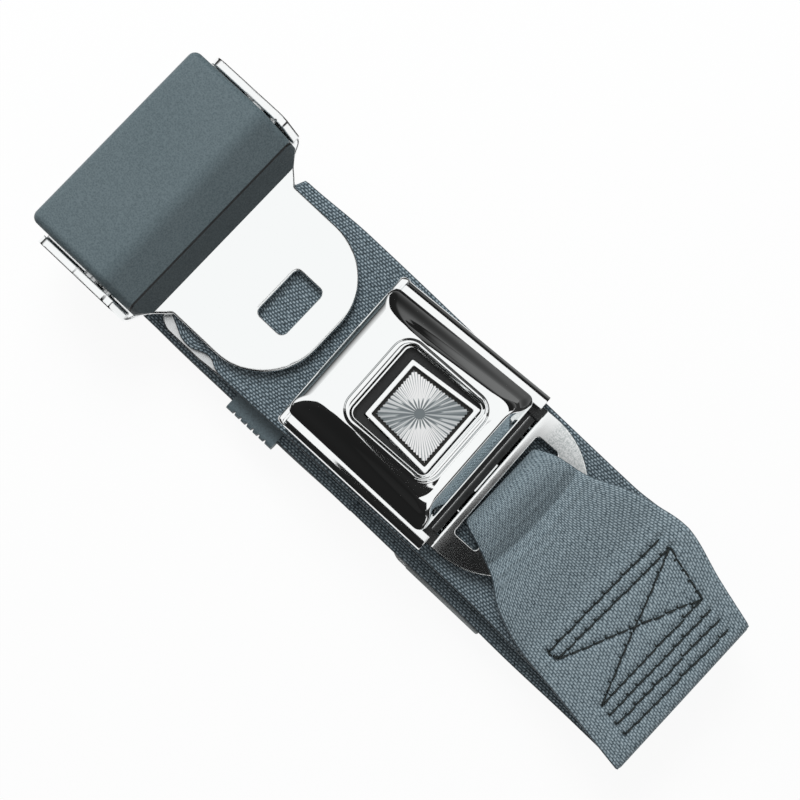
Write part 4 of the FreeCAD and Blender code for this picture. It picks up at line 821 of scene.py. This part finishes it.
# Both sides of the run under the buckle, of which the low one covers the anchor plate's edge in places
UNDER_LOW = [
    (-61.6, -20.4), (-59.5, -22.2), (-56.5, -23.6), (-53.5, -25.0), (-50.0, -25.2), (-47.0, -23.9),
    (-44.5, -23.6), (-41.5, -25.0), (-36.0, -25.3), (-10.0, -24.6), (40.0, -23.6), (68.0, -24.6),
]
UNDER_HIGH = [(-61.6, 18.6), (-58.2, 25.5), (-37.0, 26.4), (55.0, 25.5), (68.0, 26.4)]


def make_under_run():
    """The run under the buckle, and its loop on the buckle's anchor plate."""
    run_z = TOP_RUN_Z + HALF
    back = RETURN_LAP_Z + HALF
    under = BUCKLE_ANCHOR_Z - LAYER_GAP - HALF
    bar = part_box("buckle_anchor_plate")[0].x
    left = bar - LAYER_GAP - HALF
    slot = bar + 8.4 * MM
    route = [
        (SEWN_START + 4.0 * MM, run_z),
        (left, run_z, 2.0 * MM),
        (left, under, 1.5 * MM),
        (slot, under, 1.5 * MM),
        (slot, back, 1.2 * MM),
        (slot + 45.0 * MM, back),
    ]

    def edges(x, run):
        top = run < (SEWN_START + 4.0 * MM - left)
        if not top:
            tuck, full = -51.0, -45.0
            low = spread(x / MM, [(tuck, -20.4), (full, -23.0)]) * MM
            high = spread(x / MM, [(tuck, 18.6), (full, 25.0)]) * MM
            return low, high
        low = along_curve(x / MM, UNDER_LOW) * MM
        high = spread(x / MM, UNDER_HIGH) * MM
        return low, high

    made = strap("under_run", route, edges, step=1.2 * MM, columns=48)
    as_lower_run(made, "buckle_web")
    return made


def rounded_ring(front, rear, half_front, half_rear, radius, arc_steps, side_steps):
    """Points round a trapezoid with rounded corners, each side and arc in even steps."""
    corners = [(rear, half_rear), (front, half_front), (front, -half_front), (rear, -half_rear)]
    ring = []
    for i in range(4):
        here = Vector(corners[i])
        back = (Vector(corners[i - 1]) - here).normalized()
        ahead = (Vector(corners[(i + 1) % 4]) - here).normalized()
        angle = back.angle(ahead)
        reach = radius / math.tan(angle / 2)
        middle = here + (back + ahead).normalized() * (radius / math.sin(angle / 2))
        enter = here + back * reach - middle
        sweep = math.pi - angle
        for k in range(arc_steps + 1):
            ring.append(middle + Matrix.Rotation(sweep * k / arc_steps, 2) @ enter)
        following = Vector(corners[(i + 2) % 4])
        next_here = Vector(corners[(i + 1) % 4])
        next_back = (here - next_here).normalized()
        next_ahead = (following - next_here).normalized()
        next_reach = radius / math.tan(next_back.angle(next_ahead) / 2)
        end = next_here + next_back * next_reach
        last = ring[-1]
        for k in range(1, side_steps):
            ring.append(last.lerp(end, k / side_steps))
    return ring


def ring_skin(rings):
    """Points and faces of a skin through rings of (plan points, height) on the buckle."""
    points = [on_buckle(point.x, point.y, height) for plan, height in rings for point in plan]
    count = len(rings[0][0])
    faces = []
    for r in range(len(rings) - 1):
        for k in range(count):
            a = r * count + k
            b = r * count + (k + 1) % count
            faces.append((a, b, b + count, a + count))
    return points, faces


def front_lip():
    """Points and faces of the rolled lip across the mouth, rounded at both ends."""
    half = 23.9
    profile = [(-23.9, 6.3), (-23.9, 7.1)]
    for k in range(9):
        turn = math.pi / 2 * k / 8
        profile.append((-22.4 - 1.5 * math.cos(turn), 7.35 + 1.5 * math.sin(turn)))
    profile.append((-21.7, 8.85))
    stations = [-half + 1.4 * (1 - math.cos(math.pi / 2 * k / 6)) for k in range(7)]
    stations += [-half + 1.4 + (2 * half - 2.8) * k / 20 for k in range(1, 21)]
    stations += [half - 1.4 + 1.4 * math.sin(math.pi / 2 * k / 6) for k in range(1, 7)]
    points, faces = [], []
    for v in stations:
        over = max(abs(v) - (half - 1.4), 0.0)
        back = 1.4 - math.sqrt(max(1.4 * 1.4 - over * over, 0.0))
        for u, height in profile:
            points.append(on_buckle(min(u + back, -21.65), v, height - back * 0.25))
    count = len(profile)
    for j in range(len(stations) - 1):
        for i in range(count - 1):
            a = j * count + i
            faces.append((a, a + 1, a + 1 + count, a + count))
    return points, faces


# Up the dome: the height, the front and rear ends, half the width at both, and the corners' radius
DOME = [
    (9.0, -23.6, 21.7, 20.5, 21.8, 2.4),
    (10.3, -23.4, 21.25, 19.2, 20.3, 2.2),
    (11.9, -21.8, 20.4, 16.9, 18.5, 2.2),
    (13.5, -19.4, 19.4, 15.2, 17.5, 2.4),
    (14.5, -17.4, 18.6, 14.3, 16.7, 3.0),
    (15.05, -15.9, 17.9, 13.8, 16.1, 4.0),
    (15.35, -14.8, 17.1, 13.6, 15.3, 5.0),
    (15.5, -13.8, 16.2, 13.6, 13.9, 5.6),
]


def smooth_through(table, steps):
    """More rows through a table of rows, each column along a smooth curve."""
    out = []
    for i in range(len(table) - 1):
        before = table[max(i - 1, 0)]
        after = table[min(i + 2, len(table) - 1)]
        for k in range(steps):
            t = k / steps
            out.append([
                0.5 * (
                    2 * a
                    + (b - p) * t
                    + (2 * p - 5 * a + 4 * b - q) * t ** 2
                    + (3 * a - p - 3 * b + q) * t ** 3
                )
                for p, a, b, q in zip(before, table[i], table[i + 1], after)
            ])
    out.append(table[-1])
    return out


def make_dome():
    """The pressed cover: brim under the rails, pillow-shaped flanks, a shoulder, and the stepped bezel."""
    arcs, sides = 14, 30

    def level(row, inset=0.0):
        front, rear, half_front, half_rear, radius = row[1:]
        return rounded_ring(
            front + inset, rear - inset, half_front - inset, half_rear - inset,
            max(radius - inset, 0.5), arcs, sides,
        )

    def bezel(inset):
        half = 13.6 - inset
        return rounded_ring(-13.7 + inset, 16.1 - inset, half, half, 5.4 - inset, arcs, sides)

    def opening(grow):
        half = 11.2 + grow
        return rounded_ring(-10.4 - grow, 13.4 + grow, half, half, 1.9 + grow, arcs, sides)

    brim = rounded_ring(-23.5, 21.5, 21.7, 22.8, 2.4, arcs, sides)
    # The brim lies under the rails' lips, the neck between them, and the foot just over them
    neck = (0, -23.5, 21.4, 19.5, 20.6, 2.4)
    foot = DOME[0]
    rings = [
        (brim, 6.73),
        (level(neck, -0.15), 6.75),
        (level(neck), 6.85),
        (level(neck), 8.3),
        (level(foot, 0.25), 8.46),
        (level(foot, 0.05), 8.5),
        (level(foot), 8.6),
    ]
    for row in smooth_through(DOME, 5):
        rings.append((level(row), row[0]))
    # The bezel: a soft hollow at its foot, a rounded top, a ledge inside, and the wall of the opening
    rings += [
        (bezel(0.12), 15.52),
        (bezel(0.30), 15.62),
        (bezel(0.45), 15.85),
        (bezel(0.60), 16.15),
        (bezel(0.78), 16.36),
        (bezel(1.0), 16.45),
        (bezel(1.35), 16.47),
        (opening(0.98), 16.44),
        (opening(0.86), 16.36),
        (opening(0.78), 16.2),
        (opening(0.42), 15.45),
        (opening(0.34), 15.36),
        (opening(0.22), 15.33),
        (opening(0.06), 15.3),
        (opening(0.0), 15.2),
        (opening(0.0), 13.75),
    ]
    points, faces = ring_skin(rings)
    lip_points, lip_faces = front_lip()
    start = len(points)
    faces += [tuple(start + i for i in face) for face in lip_faces]
    made = mesh_object("pressed_cover", points + lip_points, faces)
    # The underside follows the skin, so the steel has its thickness
    shell = made.modifiers.new("steel", "SOLIDIFY")
    shell.thickness = 0.7 * MM
    shell.offset = -1.0
    set_material(made, CHROME)
    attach(made, "buckle")
    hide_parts("buckle_cover")
    return made


make_dome()
make_lap_strap()
make_tail()
make_adjuster_strap()
make_under_run()
sewn = make_sewn_strap()
stitching = make_stitches(SEWN_TOP_Z + WEB_THICK)
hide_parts("tang_loop", "sewn_lap")
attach(stitching, "folded_belt")
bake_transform(sewn)


# Studio: floor, soft light, camera


def level_corners(x_from, x_to, y_from, y_to, z):
    """The corners of a level rectangle."""
    return [(x_from, y_from, z), (x_to, y_from, z), (x_to, y_to, z), (x_from, y_to, z)]


def backdrop_share(tree):
    """1 for a ray that meets the white backdrop: from the camera, reflected or through glass."""
    seen = add(tree, "ShaderNodeLightPath")
    share = maths(tree, "MAXIMUM", seen.outputs["Is Camera Ray"], seen.outputs["Is Glossy Ray"])
    return maths(tree, "MAXIMUM", share, seen.outputs["Is Transmission Ray"])


def make_floor():
    """A plain pale floor under the belt; the camera and reflections see it as the white backdrop."""
    half = 1.5
    floor = mesh_object("floor", level_corners(-half, half, -half, half, 0), [(0, 1, 2, 3)])
    floor.location.z = -0.0002
    made, tree, shader = new_material("pale_floor", roughness=0.9, base_color=srgb("#EDEFEF"))
    glow = add(tree, "ShaderNodeEmission", {"Color": grey(1.0), "Strength": 1.0})
    share = maths(tree, "MULTIPLY", backdrop_share(tree), 0.93)
    mix = add(tree, "ShaderNodeMixShader", links={0: share, 1: shader.outputs[0], 2: glow.outputs[0]})
    tree.links.new(mix.outputs[0], tree.nodes["Material Output"].inputs["Surface"])
    set_material(floor, made)


def make_world():
    """White to the camera, in reflections and through glass; a plain grey room that lights the rest."""
    world = bpy.data.worlds.new("studio")
    bpy.context.scene.world = world
    world.use_nodes = True
    tree = world.node_tree
    tree.nodes.clear()
    strength = maths(tree, "ADD", maths(tree, "MULTIPLY", backdrop_share(tree), 0.65), 0.35)
    background = add(tree, "ShaderNodeBackground", {"Color": grey(1.0)}, {"Strength": strength})
    output = add(tree, "ShaderNodeOutputWorld")
    tree.links.new(background.outputs[0], output.inputs["Surface"])


def make_card(name, corners, stops, axis="Y"):
    """A studio card that only reflections see: it glows a grey graded along one of its sides."""
    card = mesh_object(name, corners, [(0, 1, 2, 3)], uvs=[(0, 0), (1, 0), (1, 1), (0, 1)])
    made = bpy.data.materials.new(name)
    made.use_nodes = True
    tree = made.node_tree
    uv = add(tree, "ShaderNodeTexCoord").outputs["UV"]
    along = add(tree, "ShaderNodeSeparateXYZ", links={"Vector": uv}).outputs[axis]
    shade = ramp(tree, along, [(position, grey(value)) for position, value in stops])
    glow = add(tree, "ShaderNodeEmission", {"Strength": 1.0}, {"Color": shade})
    tree.links.new(glow.outputs[0], tree.nodes["Material Output"].inputs["Surface"])
    set_material(card, made)
    card.visible_camera = False
    card.visible_diffuse = False
    card.visible_transmission = False
    card.visible_shadow = False


def make_light(name, place, target, size, power):
    data = bpy.data.lights.new(name, "AREA")
    data.shape = "RECTANGLE"
    data.size, data.size_y = size
    data.energy = power
    lamp = bpy.data.objects.new(name, data)
    bpy.context.scene.collection.objects.link(lamp)
    lamp.location = place
    lamp.rotation_euler = (Vector(target) - Vector(place)).to_track_quat("-Z", "Y").to_euler()
    lamp.visible_glossy = False


def make_camera():
    """Nearly straight above, the belt running down to the right, as photographed."""
    tilt, roll, swing = math.radians(5.27), math.radians(-43.2), math.radians(-49.8)
    distance = 464.7 * MM
    focal_pixels = 1856.4
    target = Vector((-2.44 * MM, 1.08 * MM, 19.0 * MM))
    away = Vector((
        math.sin(tilt) * math.cos(swing),
        math.sin(tilt) * math.sin(swing),
        math.cos(tilt),
    ))
    forward = -away
    level = (Vector((1, 0, 0)) - forward * forward.x).normalized()
    below = forward.cross(level)
    right = math.cos(roll) * level + math.sin(roll) * below
    down = forward.cross(right)
    data = bpy.data.cameras.new("camera")
    data.sensor_fit = "HORIZONTAL"
    data.sensor_width = 36.0
    data.lens = focal_pixels / 800 * 36.0
    camera = bpy.data.objects.new("camera", data)
    bpy.context.scene.collection.objects.link(camera)
    turn = Matrix((right, -down, -forward)).transposed()
    camera.matrix_world = Matrix.Translation(target + away * distance) @ turn.to_4x4()
    bpy.context.scene.camera = camera


make_floor()
make_world()

# Dark cards round the belt: black on the left, grey on the right, as the bright metal shows them.
# Two lie at the camera's height and two just over the floor.
OVERHEAD = 0.48
GROUND = 0.0005
BLACK = [(0.0, 0.012), (1.0, 0.02)]
make_card("left_card", [
    (-0.5, -0.35, 0.0),
    (0.5, -0.35, 0.0),
    (0.5, -0.35, OVERHEAD),
    (-0.5, -0.35, OVERHEAD),
], BLACK)
make_card("left_shade", level_corners(-0.03, 0.16, -0.35, -0.03, OVERHEAD), BLACK)
make_card("left_ground", level_corners(-0.5, 0.5, -0.35, -0.06, GROUND), BLACK)
make_card("right_card", [(-0.5, 0.3, 0.0), (0.5, 0.3, 0.0), (0.5, 0.3, 0.3), (-0.5, 0.3, 0.3)], [
    (0.0, 0.13),
    (0.2, 0.06),
    (0.4, 0.015),
    (1.0, 0.01),
])
make_card("right_ground", level_corners(-0.5, 0.5, 0.05, 0.3, GROUND), [
    (0.46, 0.012),
    (0.49, 0.15),
    (0.535, 0.2),
    (0.56, 0.03),
], axis="X")
make_card("front_card", [(-0.32, -0.3, 0.0), (-0.32, 0.3, 0.0), (-0.32, 0.3, 0.12), (-0.32, -0.3, 0.12)], [
    (0.0, 0.02),
    (0.45, 0.05),
    (1.0, 0.85),
])
make_card("rear_card", [(0.32, -0.3, 0.0), (0.32, 0.3, 0.0), (0.32, 0.3, 0.07), (0.32, -0.3, 0.07)], [
    (0.0, 0.02),
    (0.6, 0.05),
    (1.0, 0.6),
])
# The camera's own dark shape, which the flat metal under it reflects
make_card("camera_shade", level_corners(0.03, 0.12, -0.017, 0.08, OVERHEAD), [
    (0.0, 0.012),
    (0.38, 0.03),
    (0.66, 0.07),
    (0.84, 0.4),
    (1.0, 0.95),
])
make_light("overhead_softbox", (-0.42, 0.33, 0.62), (0, 0, 0), (0.45, 0.45), 5.9)
make_camera()
bpy.context.scene.view_settings.view_transform = "Standard"
